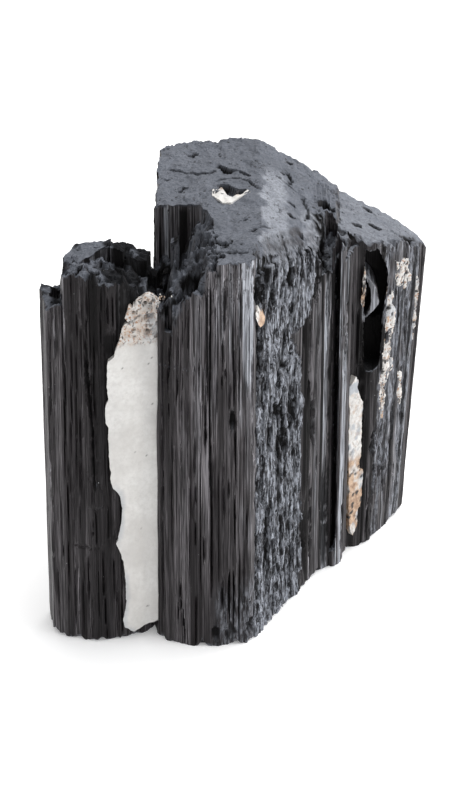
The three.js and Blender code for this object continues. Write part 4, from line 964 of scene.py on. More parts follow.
def right_top(X, Y):
    z = 58.6 - (X - 19.3) * 0.62 - 0.28 * np.maximum(0, X - 25.8)
    z += 0.14 * fbm(X * 0.35, Y * 0.35, 441, 3) + 0.08 * fbm(X * 1.6, Y * 1.6, 442, 3) + 0.10 * facets2d(X, Y * 0.7, 1.7, 448)
    z -= chipped_rim(RIGHT, X, Y, 449, 0.7, 0.45, 0.9)
    e = (X - 24.2) * 0.868 - (Y - 5.0) * 0.496
    z -= 0.5 * sstep(-0.9, 0.3, e + 0.5 * fbm(X * 0.8, Y * 0.8, 443, 3)) * np.clip(fbm(X * 0.9, Y * 0.9, 444, 3) + 0.5, 0, 1)
    z -= 1.4 * sstep(-3.2, -1.0, -Y + 1.4 + 0.8 * fbm(X, Y, 445, 3)) * np.clip(0.5 + fbm(X * 0.9, Y * 0.6, 446, 3), 0, 1)
    z += (0.55 * facets2d(X, Y, 1.2, 450) + 0.25 * facets2d(X, Y, 0.6, 452)) * np.maximum(sstep(5.5, 3.0, Y), sstep(-1.4, -0.2, e))
    return z - cracks(X, Y, RIGHT_MARKS)


def build_right(holders, middle):
    w = wall("right", RIGHT, -3, 70, right_relief, [0.25] * 6 + [0.22] + [0.3] * 2 + [0.4] * 4, 0.45)
    b = block("right_b", 16, -5, 33, 21, 0.27, right_top, chipped_foot(RIGHT, 461, 1.3, 2.0))
    steps = [("INTERSECT", b)]
    steps.append(("DIFFERENCE", frontwall("rcav", [(21.7, 55.6), (22.3, 55.1), (23.4, 55.3), (24.2, 53.6), (24.9, 50.8), (25.3, 47.2), (24.9, 44.0), (24.6, 41.2), (23.6, 40.4), (22.2, 41.6), (21.9, 44.2), (22.0, 48.0), (21.8, 52.0)][::-1], -2.0, 11.0, 0.2, 0.34, 501, 0.45)))
    steps.append(("DIFFERENCE", frontwall("rcav2", [(21.9, 42.6), (24.6, 42.6), (24.7, 38.0), (24.5, 33.6), (23.6, 32.9), (22.4, 33.4), (22.1, 37.6)][::-1], -2.0, 9.5, 0.2, 0.30, 503, 0.45)))
    steps.append(("DIFFERENCE", cutter("rbay", [(19.0, -6), (21.4, -6), (21.8, 2.6), (19.6, 3.4)], 56.2, 80, 505, 0.2, 0.7, 0.28, rag=0.5)))
    body = carve(w, *steps)
    chip = frontwall("rchip", [(21.9, 50.9), (22.7, 49.9), (23.4, 48.4), (23.9, 46.0), (23.2, 44.6), (22.2, 43.2), (22.9, 45.6), (22.75, 48.1)][::-1], 3.7, 9.5, 0.16, 0.16, 511, 0.4)
    seam = cutter("seam", [(17.2, -6), (18.55, -6), (18.45, -2.8), (18.75, 0.8), (18.1, 1.6), (17.5, -1.8)], 3.0, 80, 513, 0.18, 0.9, 0.3)
    body = carve(body, ("UNION", chip), ("DIFFERENCE", seam))
    for h in holders:
        h["keep"] = 1
    return carve(body, ("DIFFERENCE", middle), *[("DIFFERENCE", h) for h in holders])


# ------------------------------------------------------------------ feldspar
VEIN_LEFT = [
    (-9.6, 2.6), (-11.0, 2.9), (-12.0, 2.5), (-12.9, 2.3), (-13.8, 1.9), (-14.6, 1.5), (-15.2, 1.7), (-16.0, 2.5), (-16.3, 4.2), (-15.9, 5.5), (-15.8, 8.1),
    (-15.8, 10.7), (-16.0, 13.2), (-16.1, 14.8), (-16.6, 16.5), (-17.2, 18.2), (-16.8, 19.3), (-16.4, 21.8), (-16.2, 24.6), (-16.4, 26.4), (-16.8, 27.5),
    (-17.5, 28.4), (-17.8, 29.4), (-17.9, 31.9), (-18.1, 34.6), (-18.0, 38.9), (-18.4, 39.9), (-18.5, 41.7), (-18.4, 43.0), (-18.05, 44.0), (-18.1, 45.5),
    (-18.1, 49.5), (-17.9, 50.6), (-17.0, 51.3), (-16.2, 53.7), (-16.0, 54.8), (-15.5, 56.6), (-14.8, 57.1), (-15.2, 57.7), (-15.0, 58.6), (-14.6, 59.7),
    (-14.1, 59.3), (-13.95, 59.9), (-13.5, 60.2), (-12.7, 60.5), (-12.1, 61.1), (-11.5, 61.2), (-10.9, 60.8), (-10.4, 60.3), (-10.1, 59.8), (-9.6, 57.0),
]


def vein_skin(X, Z):
    """Front surface (y) of the large seam."""
    y = np.interp(X, [-20.4, -17.6, -14.0, -12.6, -10.2], [-26.75, -26.3, -25.5, -24.9, -24.4])
    crumb = sstep(52.0, 54.5, Z + 0.8 * fbm(X * 0.6, Z * 0.4, 601, 2))
    y = y + 0.22 * fbm(X * 0.30, Z * 0.16, 602, 3) + 0.07 * fbm(X * 1.0, Z * 0.7, 603, 3)
    y = y + crumb * (0.55 * fbm(X * 0.9, Z * 0.9, 604, 4, 0.65) + 0.35 * np.abs(vnoise(X * 1.3, Z * 1.3, 605)) - 0.1)
    for x, z, r, d in [(-12.2, 59.6, 0.55, 1.1), (-13.9, 58.5, 0.5, 0.8), (-14.2, 57.0, 0.5, 0.8), (-11.9, 55.0, 0.6, 0.8), (-11.1, 57.6, 0.5, 0.9), (-11.5, 58.9, 0.6, 0.9), (-11.8, 57.3, 0.8, 0.7)]:
        y = y + d * np.clip(1.4 * (1 - np.hypot(X - x, Z - z) / r), 0, 1)
    return y


def vein_back(X, Z):
    return -14.5 - 9.0 * sstep(50, 57, Z)


def skin_block(name, x0, z0, x1, z1, step, front, back):
    """Block whose front face (towards -y) follows front(x, z)."""
    nx, nz = int((x1 - x0) / step) + 1, int((z1 - z0) / step) + 1
    X, Z = np.meshgrid(np.linspace(x0, x1, nx), np.linspace(z0, z1, nz))
    V = np.concatenate([np.stack([X, front(X, Z), Z], -1).reshape(-1, 3), np.stack([X, back(X, Z) if callable(back) else X * 0 + back, Z], -1).reshape(-1, 3)])
    o = nx * nz
    a = (np.arange(nz - 1)[:, None] * nx + np.arange(nx - 1)[None]).ravel()
    F = list(np.stack([a, a + 1, a + nx + 1, a + nx], -1)) + list(o + np.stack([a, a + nx, a + nx + 1, a + 1], -1))
    e = np.array(
        list(range(nx)) + [nx - 1 + k * nx for k in range(1, nz)]
        + [(nz - 1) * nx + k for k in range(nx - 2, -1, -1)] + [k * nx for k in range(nz - 2, 0, -1)]
    )
    f = np.roll(e, -1)
    F += list(np.stack([e, o + e, o + f, f], -1))
    return make(name, V, F)


def build_vein_left(body_main):
    w = frontwall("vein", VEIN_LEFT, -29, -13, 0.26, 0.20, 611)
    b = skin_block("vein_b", -20.5, 0.3, -9.0, 66, 0.25, vein_skin, vein_back)
    plan = wall("vein_p", [(-19.6, -29.5), (-9.7, -29.5), (-9.7, -15.0), (-13.6, -15.0), (-19.6, -23.6)], 0.2, 70, None, 3, 70)
    body_main["keep"] = 1
    v = carve(w, ("INTERSECT", b), ("INTERSECT", plan), ("DIFFERENCE", body_main))
    del body_main["keep"]
    return v


def plate(name, pts, start, angle, inward, proud, seed, ragged=0.15, relief=0.15, step=0.2, islands=0.0):
    """Crust let into an upright face: outline along the face and up it, with a bumpy front."""
    w = frontwall(name, pts, -3, 3, 0.16, ragged, seed, 0.3)
    P = np.asarray(pts, float)
    x0, z0 = P.min(0) - 1
    x1, z1 = P.max(0) + 1
    def front(X, Z):
        e = inside(pts, X, Z)
        f = -proud + relief * fbm(X * 1.1, Z * 0.9, seed + 3, 4, 0.6) + 0.5 * relief * np.abs(vnoise(X * 2.3, Z * 2.3, seed + 4))
        f = f + islands * (0.45 * (1 - sstep(-0.2, 0.5, e)) + 1.0 * np.clip(fbm(X * 2.2, Z * 0.8, seed + 6, 3, 0.6) + 0.02, 0, 1))
        return np.minimum(f, inward - 0.08)
    o = carve(w, ("INTERSECT", skin_block(name + "_b", x0, z0, x1, z1, step, front, inward)))
    co = coords(o.data)
    c, s = math.cos(angle), math.sin(angle)
    x, y = co[:, 0].copy(), co[:, 1].copy()
    co[:, 0], co[:, 1] = start[0] + x * c - y * s, start[1] + x * s + y * c
    put(o.data, co)
    return o


def coords(me):
    co = np.empty(len(me.vertices) * 3, np.float32)
    me.vertices.foreach_get("co", co)
    return co.reshape(-1, 3).astype(float)


def put(me, co):
    me.vertices.foreach_set("co", np.asarray(co, np.float32).ravel())
    me.update()


INNER = ((19.6, 1.0), math.atan2(4.2, 4.9))
OUTER = ((24.2, 5.0), math.atan2(11.2, 6.4))
VEIN_RIGHT = [
    (1.8, 33.3), (1.5, 32.6), (1.2, 32.2), (0.7, 31.6), (0.35, 31.2), (0.45, 29.0), (0.9, 27.6), (0.8, 23.4), (1.0, 17.4), (1.3, 7.5), (1.7, 4.1), (2.4, 2.8), (3.4, 4.7),
    (3.3, 7.6), (3.8, 7.9), (4.15, 12.4), (4.1, 15.0), (3.3, 15.4), (3.2, 16.7), (3.5, 18.5), (3.3, 25.3), (3.5, 28.0), (2.9, 28.9), (2.3, 30.9), (2.4, 32.4),
]
CRUSTS = {
    "feldspar_crust_upper": [(4.5, 50.8), (4.2, 49.4), (4.3, 47.6), (4.9, 46.4), (5.7, 45.5), (6.8, 45.2), (7.7, 44.5), (9.1, 45.2), (9.1, 47.4), (8.6, 48.4), (8.3, 49.6), (7.2, 50.4), (6.4, 50.9)],
    "feldspar_crust_middle": [
        (2.9, 46.9), (2.5, 44.8), (2.7, 42.8), (2.4, 40.4), (2.9, 38.1), (2.0, 35.0), (2.1, 31.6), (1.6, 29.4), (1.9, 27.2), (1.7, 25.0), (2.4, 22.6), (3.5, 22.1), (3.1, 25.1), (3.9, 26.7),
        (3.2, 28.3), (3.9, 29.9), (5.4, 30.7), (5.4, 32.7), (4.5, 35.0), (4.2, 36.9), (5.3, 38.7), (5.3, 40.7), (4.4, 43.6), (3.9, 46.4),
    ],
    "feldspar_crust_edge_upper": [(10.7, 46.6), (10.9, 43.6), (11.2, 41.0), (11.0, 36.3), (11.5, 33.2), (12.1, 35.8), (11.7, 39.0), (11.9, 42.1), (11.8, 44.5), (11.5, 46.8)],
    "feldspar_crust_edge_lower": [(7.3, 29.6), (7.9, 26.3), (7.7, 24.6), (8.1, 22.8), (9.1, 22.0), (9.3, 25.0), (8.8, 26.8), (9.2, 28.4)],
}


# ------------------------------------------------------------------ materials


def node(nt, kind, **kw):
    n = nt.nodes.new(kind)
    for k, v in kw.items():
        setattr(n, k, v)
    return n


class Look:
    """A node material put together a step at a time."""

    def __init__(self, name):
        self.m = bpy.data.materials.new(name)
        self.m.use_nodes = True
        self.nt = self.m.node_tree
        self.nt.nodes.clear()
        self.out = node(self.nt, "ShaderNodeOutputMaterial")
        self.bsdf = node(self.nt, "ShaderNodeBsdfPrincipled")
        self.nt.links.new(self.bsdf.outputs[0], self.out.inputs[0])
        self.co = node(self.nt, "ShaderNodeTexCoord").outputs["Object"]

    def link(self, a, b):
        self.nt.links.new(a, b)

    def attr(self, name):
        return node(self.nt, "ShaderNodeAttribute", attribute_name=name).outputs["Fac"]

    def stretch(self, sx, sy, sz):
        n = node(self.nt, "ShaderNodeMapping")
        n.inputs["Scale"].default_value = (sx, sy, sz)
        self.link(self.co, n.inputs["Vector"])
        return n.outputs[0]

    def noise(self, vec, scale, detail=3.0, rough=0.55, distort=0.0):
        n = node(self.nt, "ShaderNodeTexNoise")
        self.link(vec, n.inputs["Vector"])
        for k, v in (("Scale", scale), ("Detail", detail), ("Roughness", rough), ("Distortion", distort)):
            n.inputs[k].default_value = v
        return n.outputs["Fac"]

    def voronoi(self, vec, scale, feature="F1", rand=1.0):
        n = node(self.nt, "ShaderNodeTexVoronoi", feature=feature)
        self.link(vec, n.inputs["Vector"])
        n.inputs["Scale"].default_value = scale
        n.inputs["Randomness"].default_value = rand
        return n.outputs["Distance"]

    def math(self, op, a, b=0.0, c=None, clamp=False):
        n = node(self.nt, "ShaderNodeMath", operation=op, use_clamp=clamp)
        for k, v in enumerate((a, b) if c is None else (a, b, c)):
            if isinstance(v, (int, float)):
                n.inputs[k].default_value = v
            else:
                self.link(v, n.inputs[k])
        return n.outputs[0]

    def ramp(self, fac, lo, hi, a=0.0, b=1.0):
        n = node(self.nt, "ShaderNodeMapRange", clamp=True)
        self.link(fac, n.inputs["Value"])
        for k, v in (("From Min", lo), ("From Max", hi), ("To Min", a), ("To Max", b)):
            n.inputs[k].default_value = v
        return n.outputs[0]

    def mix(self, fac, a, b):
        n = node(self.nt, "ShaderNodeMix", data_type="RGBA")
        for k, v in ((0, fac), (6, a), (7, b)):
            if isinstance(v, (int, float)):
                n.inputs[k].default_value = v
            elif isinstance(v, tuple):
                n.inputs[k].default_value = (*v, 1.0)
            else:
                self.link(v, n.inputs[k])
        return n.outputs[2]

    def bump(self, height, strength, distance, after=None):
        n = node(self.nt, "ShaderNodeBump")
        n.inputs["Strength"].default_value = strength
        n.inputs["Distance"].default_value = distance
        self.link(height, n.inputs["Height"])
        if after is not None:
            self.link(after, n.inputs["Normal"])
        return n.outputs[0]

    def end(self, color, rough, normal, ior, spec=0.5):
        self.link(color, self.bsdf.inputs["Base Color"])
        self.link(rough, self.bsdf.inputs["Roughness"])
        self.link(normal, self.bsdf.inputs["Normal"])
        self.bsdf.inputs["IOR"].default_value = ior
        self.bsdf.inputs["Specular IOR Level"].default_value = spec
        return self.m


def tourmaline_look():
    L = Look("tourmaline_black")
    tone, torn, cap, deep, pale = (L.attr(n) for n in ("tone", "torn", "cap", "deep", "pale"))
    long = L.stretch(1, 1, 0.014)
    mid = L.stretch(1, 1, 0.14)
    even = L.stretch(1, 1, 1)
    streak = L.noise(long, 5600, 3, 0.7)
    streak2 = L.noise(long, 1000, 2, 0.5)
    dash = L.noise(L.stretch(1, 1, 0.05), 3600, 2, 0.6)
    fibre = L.noise(mid, 2700, 4, 0.72)
    grain = L.noise(even, 2600, 3, 0.7)
    grain2 = L.noise(even, 800, 4, 0.65)
    cloud = L.noise(even, 140, 3, 0.5)
    hair = L.math("ABSOLUTE", L.math("SUBTRACT", L.noise(L.stretch(1, 0.7, 1), 260, 5, 0.62, 0.6), 0.5))
    speck = L.voronoi(even, 1100)
    # faces: near-black with fine bright striations and silvery strips, both painted highlights
    f = L.math("MULTIPLY", L.ramp(streak, 0.42, 0.60, 0.08, 2.15), L.ramp(streak2, 0.36, 0.64, 0.45, 1.35))
    f = L.math("MULTIPLY", f, L.ramp(dash, 0.38, 0.62, 0.65, 1.35))
    solid = L.ramp(tone, 0.45, 0.95, 0.0, 0.72)
    f = L.math("ADD", L.math("MULTIPLY", f, L.math("SUBTRACT", 1.0, solid)), solid)
    t = L.math("MULTIPLY", L.math("ADD", tone, 0.026), f, clamp=True)
    face = L.mix(t, (0.0056, 0.0042, 0.0049), L.mix(L.ramp(tone, 0.08, 0.40), (0.430, 0.402, 0.425), (0.400, 0.415, 0.455)))
    torn_c = L.mix(L.ramp(fibre, 0.42, 0.59), (0.016, 0.016, 0.019), (0.335, 0.354, 0.400))
    torn_c = L.mix(L.ramp(grain2, 0.50, 0.68, 0.0, 0.75), torn_c, (0.020, 0.020, 0.023))
    gaps = L.ramp(L.noise(L.stretch(1, 1, 0.22), 2100, 3, 0.65), 0.545, 0.60)
    torn_c = L.mix(L.math("MULTIPLY", gaps, 0.9), torn_c, (0.007, 0.006, 0.007))
    # broken tops: slate grey, gritty, with hair cracks and pits; the grey of upward faces is partly painted sheen
    cap_c = L.mix(L.ramp(grain, 0.38, 0.62), (0.062, 0.067, 0.081), (0.165, 0.178, 0.208))
    cap_c = L.mix(L.ramp(grain2, 0.36, 0.66, 0.0, 0.75), cap_c, (0.135, 0.146, 0.172))
    cap_c = L.mix(L.ramp(cloud, 0.35, 0.68, 0.0, 0.45), cap_c, (0.080, 0.087, 0.103))
    # painted light on the sloping tops
    cap_c = L.mix(pale, cap_c, L.mix(L.ramp(grain, 0.36, 0.60), (0.185, 0.197, 0.222), (0.345, 0.362, 0.400)))
    crack = L.math("MULTIPLY", L.ramp(hair, 0.004, 0.011, 1.0, 0.0), L.ramp(L.noise(even, 190, 3), 0.50, 0.57))
    cap_c = L.mix(L.math("MULTIPLY", crack, 0.8), cap_c, (0.016, 0.016, 0.018))
    cap_c = L.mix(L.ramp(L.noise(even, 1300, 2, 0.5), 0.655, 0.70), cap_c, (0.015, 0.015, 0.017))
    col = L.mix(torn, face, torn_c)
    col = L.mix(cap, col, cap_c)
    # painted shade: the deep attribute turns recesses, seams, bay walls and pits near-black
    col = L.mix(deep, col, (0.0030, 0.0027, 0.0029))
    # a few light mineral specks
    col = L.mix(L.math("MULTIPLY", L.ramp(speck, 0.05, 0.10, 1.0, 0.0), L.ramp(L.noise(even, 420, 2), 0.62, 0.70)), col, (0.42, 0.42, 0.43))
    r = L.math("ADD", L.ramp(streak, 0.3, 0.7, 0.34, 0.50), L.math("MULTIPLY", L.math("MAXIMUM", torn, deep), 0.16))
    r = L.math("ADD", r, L.math("MULTIPLY", cap, 0.18))
    r = L.math("ADD", r, L.math("MULTIPLY", deep, 0.28))
    n1 = L.bump(L.noise(long, 3400, 4, 0.6), 0.45, 0.00016)
    rough = L.math("MAXIMUM", torn, cap)
    h2 = L.math("MULTIPLY", L.noise(mid, 2200, 5, 0.7), rough)
    n2 = L.bump(h2, 0.6, 0.00024, n1)
    h3 = L.math("MULTIPLY", L.noise(even, 3000, 4, 0.7), cap)
    n3 = L.bump(h3, 0.8, 0.00018, n2)
    return L.end(col, r, n3, 1.5, 0.15)


def feldspar_look(name, stained=0.0):
    L = Look(name)
    stain, grey, dark, mottle = L.attr("stain"), L.attr("grey"), L.attr("dark"), L.attr("mottle")
    even = L.stretch(1, 1, 1)
    cloud = L.noise(even, 120, 4, 0.6)
    grain = L.noise(even, 1400, 4, 0.65)
    fine = L.noise(even, 4200, 3, 0.6)
    base = L.mix(L.ramp(cloud, 0.36, 0.64), (0.53, 0.515, 0.495), (0.675, 0.665, 0.645))
    base = L.mix(L.ramp(grain, 0.42, 0.66, 0.0, 0.55), base, (0.50, 0.485, 0.465))
    base = L.mix(L.math("MULTIPLY", mottle, L.ramp(L.noise(even, 900, 4, 0.7), 0.42, 0.62)), base, (0.58, 0.55, 0.52))
    base = L.mix(L.math("MULTIPLY", mottle, L.ramp(L.noise(even, 2300, 3, 0.6), 0.560, 0.60)), base, (0.33, 0.17, 0.09))
    base = L.mix(L.math("MULTIPLY", mottle, L.ramp(L.noise(L.stretch(1, 1, 0.45), 1500, 3, 0.6), 0.57, 0.61)), base, (0.020, 0.018, 0.018))
    base = L.mix(grey, base, (0.30, 0.325, 0.36))
    brown = L.mix(L.ramp(grain, 0.38, 0.62), (0.26, 0.16, 0.10), (0.54, 0.385, 0.27))
    base = L.mix(stain, base, brown)
    base = L.mix(dark, base, (0.022, 0.020, 0.020))
    r = L.ramp(grain, 0.3, 0.7, 0.50, 0.78)
    n1 = L.bump(grain, 0.45, 0.00020)
    n2 = L.bump(fine, 0.35, 0.00007, n1)
    return L.end(base, r, n2, 1.53)


def floor_look():
    L = Look("studio_paper")
    c = L.mix(L.noise(L.stretch(1, 1, 1), 6, 2), (0.93, 0.93, 0.935), (0.95, 0.95, 0.952))
    r = L.ramp(L.noise(L.stretch(1, 1, 1), 60, 2), 0.3, 0.7, 0.85, 0.95)
    n = L.bump(L.noise(L.stretch(1, 1, 1), 300, 2), 0.05, 0.0002)
    L.bsdf.inputs["Emission Color"].default_value = (1.0, 1.0, 1.0, 1.0)
    L.bsdf.inputs["Emission Strength"].default_value = 0.19
    return L.end(c, r, n, 1.4, 0.1)


# ------------------------------------------------------------------ finishing a piece


def normals(me):
    n = np.empty(len(me.vertices) * 3, np.float32)
    me.vertices.foreach_get("normal", n)
    return n.reshape(-1, 3)


def attribute(me, name, values):
    a = me.attributes.new(name, "FLOAT", "POINT")
    a.data.foreach_set("value", np.clip(values, 0, 1).astype(np.float32))


def finish_piece(o, name, look, sharp, lean=None):
    me = o.data
    co = coords(me)
    if lean:
        co = lean(co)
    put(me, (co - np.array([CX, CY, 0.0])) / 1000.0)
    me.materials.clear()
    me.materials.append(look)
    me.set_sharp_from_angle(angle=math.radians(sharp))
    me.polygons.foreach_set("use_smooth", np.ones(len(me.polygons), bool))
    piece = bpy.data.objects.new(name + "_surface", me)
    me.name = name + "_surface"
    scene.collection.objects.link(piece)
    bpy.data.objects.remove(o)
    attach(piece, "root")
    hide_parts(name)
    return piece


def stone_attributes(o, pts, tone, torn, deep, extra_torn=None, pale=None, dark=None, in0=1.1, in1=2.0, hollow=0.45, light=None, grit=None):
    """Where each kind of surface lies: painted sheen of the silvery strips, torn fibre, painted shade in recesses and
    bay walls, painted light on sloping tops, and painted shade in the pits and rubble of the broken tops.
    """
    me = o.data
    co, nn = coords(me), normals(me)
    s, e = around(pts, co[:, 0], co[:, 1])
    up = sstep(0.35, 0.75, nn[:, 2])
    inner = sstep(in0, in1, e)  # walls of bays and notches, away from the outline
    t = tone(s, co[:, 2])
    q = vnoise((co[:, 0] + co[:, 1] * 0.7) * 1.7, co[:, 2] * 0.03, 700)
    t = t * (1 - inner) + inner * np.clip(0.10 + 0.25 * q, 0, 1)
    # lighter patches over the sheen, which also clear the painted shade; on the middle crystal these are painted light
    # in the notch
    if light is not None:
        lit = light(co)
        t = np.maximum(t, lit)
    r = torn(s, co[:, 2]) * (1 - inner)
    # walls of bays and notches get painted shade, hollow setting its strength
    d = deep(s, co[:, 2]) * (1 - inner) + inner * hollow * (0.9 - 0.5 * q)
    if light is not None:
        d = d * (1 - np.clip(3.0 * lit, 0, 0.9))
    if extra_torn is not None:
        # painted shade in the pits and rubble of the tops, kept even on upward faces
        r = np.maximum(r, extra_torn(co))
    if dark is not None:
        k = np.clip(dark(co), 0, 1)
        d = np.maximum(d * (1 - up), k)
    else:
        d = d * (1 - up)
    under = sstep(0.35, 0.75, -nn[:, 2])
    if grit is not None:
        up = np.maximum(up, grit(co) * (1 - under))
    attribute(me, "tone", t * (1 - up))
    attribute(me, "torn", np.maximum(r, 0.6 * under) * (1 - up))
    # upward faces: broken-top grey that is partly painted sheen
    attribute(me, "cap", up)
    # painted shade
    attribute(me, "deep", d)
    attribute(me, "pale", pale(co) if pale is not None else e * 0)


# ------------------------------------------------------------------ build everything
TOURMALINE = tourmaline_look()
FELDSPAR = feldspar_look("feldspar_white")
STAINED = feldspar_look("feldspar_iron_stained")

main = build_main()

# large seam
vein = build_vein_left(main)
co = coords(vein.data)
X, Z = co[:, 0], co[:, 2]
crumb = sstep(52.3, 54.2, Z + 0.7 * fbm(X * 0.5, Z * 0.4, 601, 2))
stain = crumb * sstep(0.08, 0.30, fbm(X * 0.75, Z * 0.75, 621, 3)) * 0.85
for x, z, rx, rz in [(-14.4, 53.2, 0.8, 0.45), (-15.2, 55.0, 0.55, 0.9), (-10.9, 58.4, 0.5, 1.4), (-12.9, 58.3, 1.1, 0.6), (-12.6, 57.0, 1.2, 0.5)]:
    stain = np.maximum(stain, 0.9 * sstep(1.0, 0.4, np.hypot((X - x) / rx, (Z - z) / rz) + 0.5 * fbm(X * 1.3, Z * 1.3, 622, 2)))
grey = np.zeros_like(X)
for x, z, rx, rz in [(-11.9, 54.3, 0.9, 0.8), (-11.4, 56.9, 1.1, 1.2), (-10.7, 55.4, 0.8, 1.3)]:
    grey = np.maximum(grey, 0.85 * sstep(1.1, 0.3, np.hypot((X - x) / rx, (Z - z) / rz) + 0.4 * fbm(X * 1.2, Z * 1.2, 623, 2)))
edge = inside(VEIN_LEFT, X, Z)
grey = np.maximum(grey, 0.75 * sstep(0.9, 0.15, edge + 0.4 * fbm(Z * 0.5, X * 0.5, 624, 2)) * (sstep(16, 20, Z) * sstep(30, 27, Z) + sstep(14, 11, Z)) * sstep(-14.2, -14.9, X))
dark = np.zeros_like(X)
SPECKS = [
    (-11.3, 50.4, 0.16), (-11.7, 49.5, 0.2), (-12.3, 48.3, 0.12), (-15.7, 49.2, 0.16), (-17.6, 39.3, 0.14), (-13.9, 34.4, 0.13), (-12.3, 33.4, 0.12),
    (-11.3, 42.4, 0.13), (-12.4, 5.8, 0.18), (-12.5, 53.2, 0.14), (-11.6, 53.0, 0.14), (-11.4, 59.6, 0.35), (-13.6, 57.6, 0.3), (-13.9, 58.6, 0.28), (-11.9, 55.1, 0.35),
    (-11.1, 57.9, 0.3), (-12.2, 59.7, 0.4), (-13.9, 55.6, 0.14), (-16.5, 29.5, 0.12), (-13.2, 20.3, 0.11), (-15.4, 12.2, 0.13),
]
for x, z, r in SPECKS:
    dark = np.maximum(dark, sstep(1.35, 0.75, np.hypot(X - x, Z - z) / (0.68 * r) + 0.3 * vnoise(X * 5, Z * 5, 625)))
dark = np.maximum(dark, crumb * sstep(0.50, 0.66, fbm(X * 1.3, Z * 1.3, 626, 2)))
attribute(vein.data, "mottle", np.maximum(crumb * 0.9, 0.0))
attribute(vein.data, "stain", stain * 0.40)
# greyer towards the right side of the seam, beside the middle crystal: painted shade; the faint grey clouds over the
# whole seam are its own colour
grey = np.maximum(grey, 0.16 * sstep(-13.6, -12.2, X + 0.5 * fbm(Z * 0.12, X * 0.3, 631, 2)) + 0.14 * np.clip(fbm(X * 0.35, Z * 0.2, 632, 3), 0, 1))
attribute(vein.data, "grey", grey * 0.6)
attribute(vein.data, "dark", dark * 0.8)

main["keep"] = 1
left = build_left(vein, main)

# narrow stained seam and crusts of the right crystal
vr = plate("vr", VEIN_RIGHT, INNER[0], INNER[1], 2.2, 0.2, 641, 0.10, 0.22)
crusts = {n: plate(n, p, OUTER[0], OUTER[1], 0.62, 0.12, 650 + 7 * k, 0.30, 0.30, 0.16, 1.0) for k, (n, p) in enumerate(CRUSTS.items())}
splinter = frontwall("splinter", [(21.8, 52.6), (21.66, 51.2), (21.5, 49.8), (21.6, 48.4), (21.48, 47.0), (21.7, 45.6), (21.95, 46.0), (21.88, 47.4), (22.08, 48.6), (21.9, 50.0), (21.96, 51.6)], 2.45, 5.0, 0.10, 0.16, 671, 0.25)
right = build_right([vr, splinter] + list(crusts.values()), main)

# white lump in the pocket of the flat top
CRESCENT = [
    (-2.05, -1.0), (-1.97, -2.72), (-1.26, -4.06), (-0.16, -5.13), (0.94, -5.2), (1.73, -3.68), (2.99, -2.34), (4.11, -0.8), (3.64, -0.03),
    (2.84, -1.19), (2.05, -2.15), (1.1, -2.92), (0.31, -2.53), (0.0, -0.8), (-0.63, 0.36), (-1.42, 0.17),
]
lump = carve(
    wall("lump", CRESCENT, 63, 70, lambda S, Z: 0.1 * fbm(S * 1.2, Z, 681, 3), 0.2, 0.5),
    ("INTERSECT", block("lump_b", -3, -6.5, 6, 2.5, 0.2, lambda X, Y: main_top(X, Y) + pocket(X, Y) + 0.10 - 0.06 * (Y + 2.5) + 0.25 * fbm(X * 0.9, Y * 0.9, 682, 4, 0.6), 64.2)),
)
lump["keep"] = 1
main = carve(main, ("DIFFERENCE", lump))

# flake in the corner between the two front faces
flake = carve(
    frontwall("flake", [(4.65, 58.2), (4.95, 57.0), (5.45, 55.7), (6.0, 55.8), (6.15, 56.5), (5.8, 57.4), (5.4, 58.2), (4.95, 59.0), (4.7, 58.9)], -27.5, -22.4, 0.15, 0.08, 691, 0.3),
    ("INTERSECT", wall("flake_w", outset(MAIN, 0.18), 50, 62, lambda S, Z: 0.12 * fbm(S * 1.2, Z * 0.8, 692, 3), 0.2, 0.3)),
)
main["keep"] = 1
flake = carve(flake, ("DIFFERENCE", main))
del main["keep"]

# crumbs of feldspar caught along the broken edge above the seam
r = np.random.RandomState(701)
spots = []
for k in range(20):
    t = r.uniform(0, 1) ** 1.7
    x = -10.6 + 2.6 * t + r.normal() * 0.15
    spots.append((x, -26.2 + 0.9 * (x + 10.6) * -0.25 + r.normal() * 0.35 + 0.5, 61.0 + 0.62 * t * 2 + r.normal() * 0.2, r.uniform(0.10, 0.25)))
crumbs = grains("crumbs", spots, 702)
cc = coords(crumbs.data)
g = hsh(np.arange(len(cc)) // 42, 0 * np.arange(len(cc)), 703)
for n, v in (("stain", (g > 0.45) * 0.8), ("grey", g * 0), ("dark", (g > 0.9) * 0.9), ("mottle", g * 0 + 0.4)):
    attribute(crumbs.data, n, v)

def torn_main(co):
    """The torn corner over the right-hand face, and the rubble at the front left."""
    x, y, z = co.T
    a = 0.8 * sstep(55.5, 57.5, z) * sstep(13, 14.5, x) * (1 - sstep(4, 6, y))
    b = 0.55 * sstep(55, 57, z) * sstep(-27.4, -26.4, y) * (1 - sstep(-6.5, -5.5, y)) * (1 - sstep(-2.5, -1.5, x)) * sstep(2.4, 1.0, notch_height(x, y) - z)
    c = 0.42 * sstep(-2.2, 0.2, x + 0.8 * fbm(z * 0.3, x * 0.4, 95, 2)) * (1 - sstep(5, 14, z + 3 * vnoise(x * 0.8, z * 0.2, 93))) * (1 - sstep(-22, -20, y))
    return np.maximum(np.maximum(a, b), c)


def slope_light_main(co):
    # painted light on the sloping part of the top: a band where it begins and a patch further along it
    x, y, z = co.T
    w = 0.5 * vnoise(y * 0.5, x * 0, 711) + 0.25 * vnoise(y * 2.1, x * 0, 712)
    band = sstep(5.5, 6.0, x + 1.6 * w - 0.25) * (1 - sstep(9.0, 10.4, x + w + 0.04 * y)) * (1 - sstep(8, 13, y))
    corner = 0.8 * sstep(11.6, 13, x + w) * (1 - sstep(0, 3, y)) * sstep(-14, -9, y)
    return np.maximum(0.85 * band, corner) * (0.75 + 0.3 * fbm(x * 0.8, y * 0.8, 713, 3))


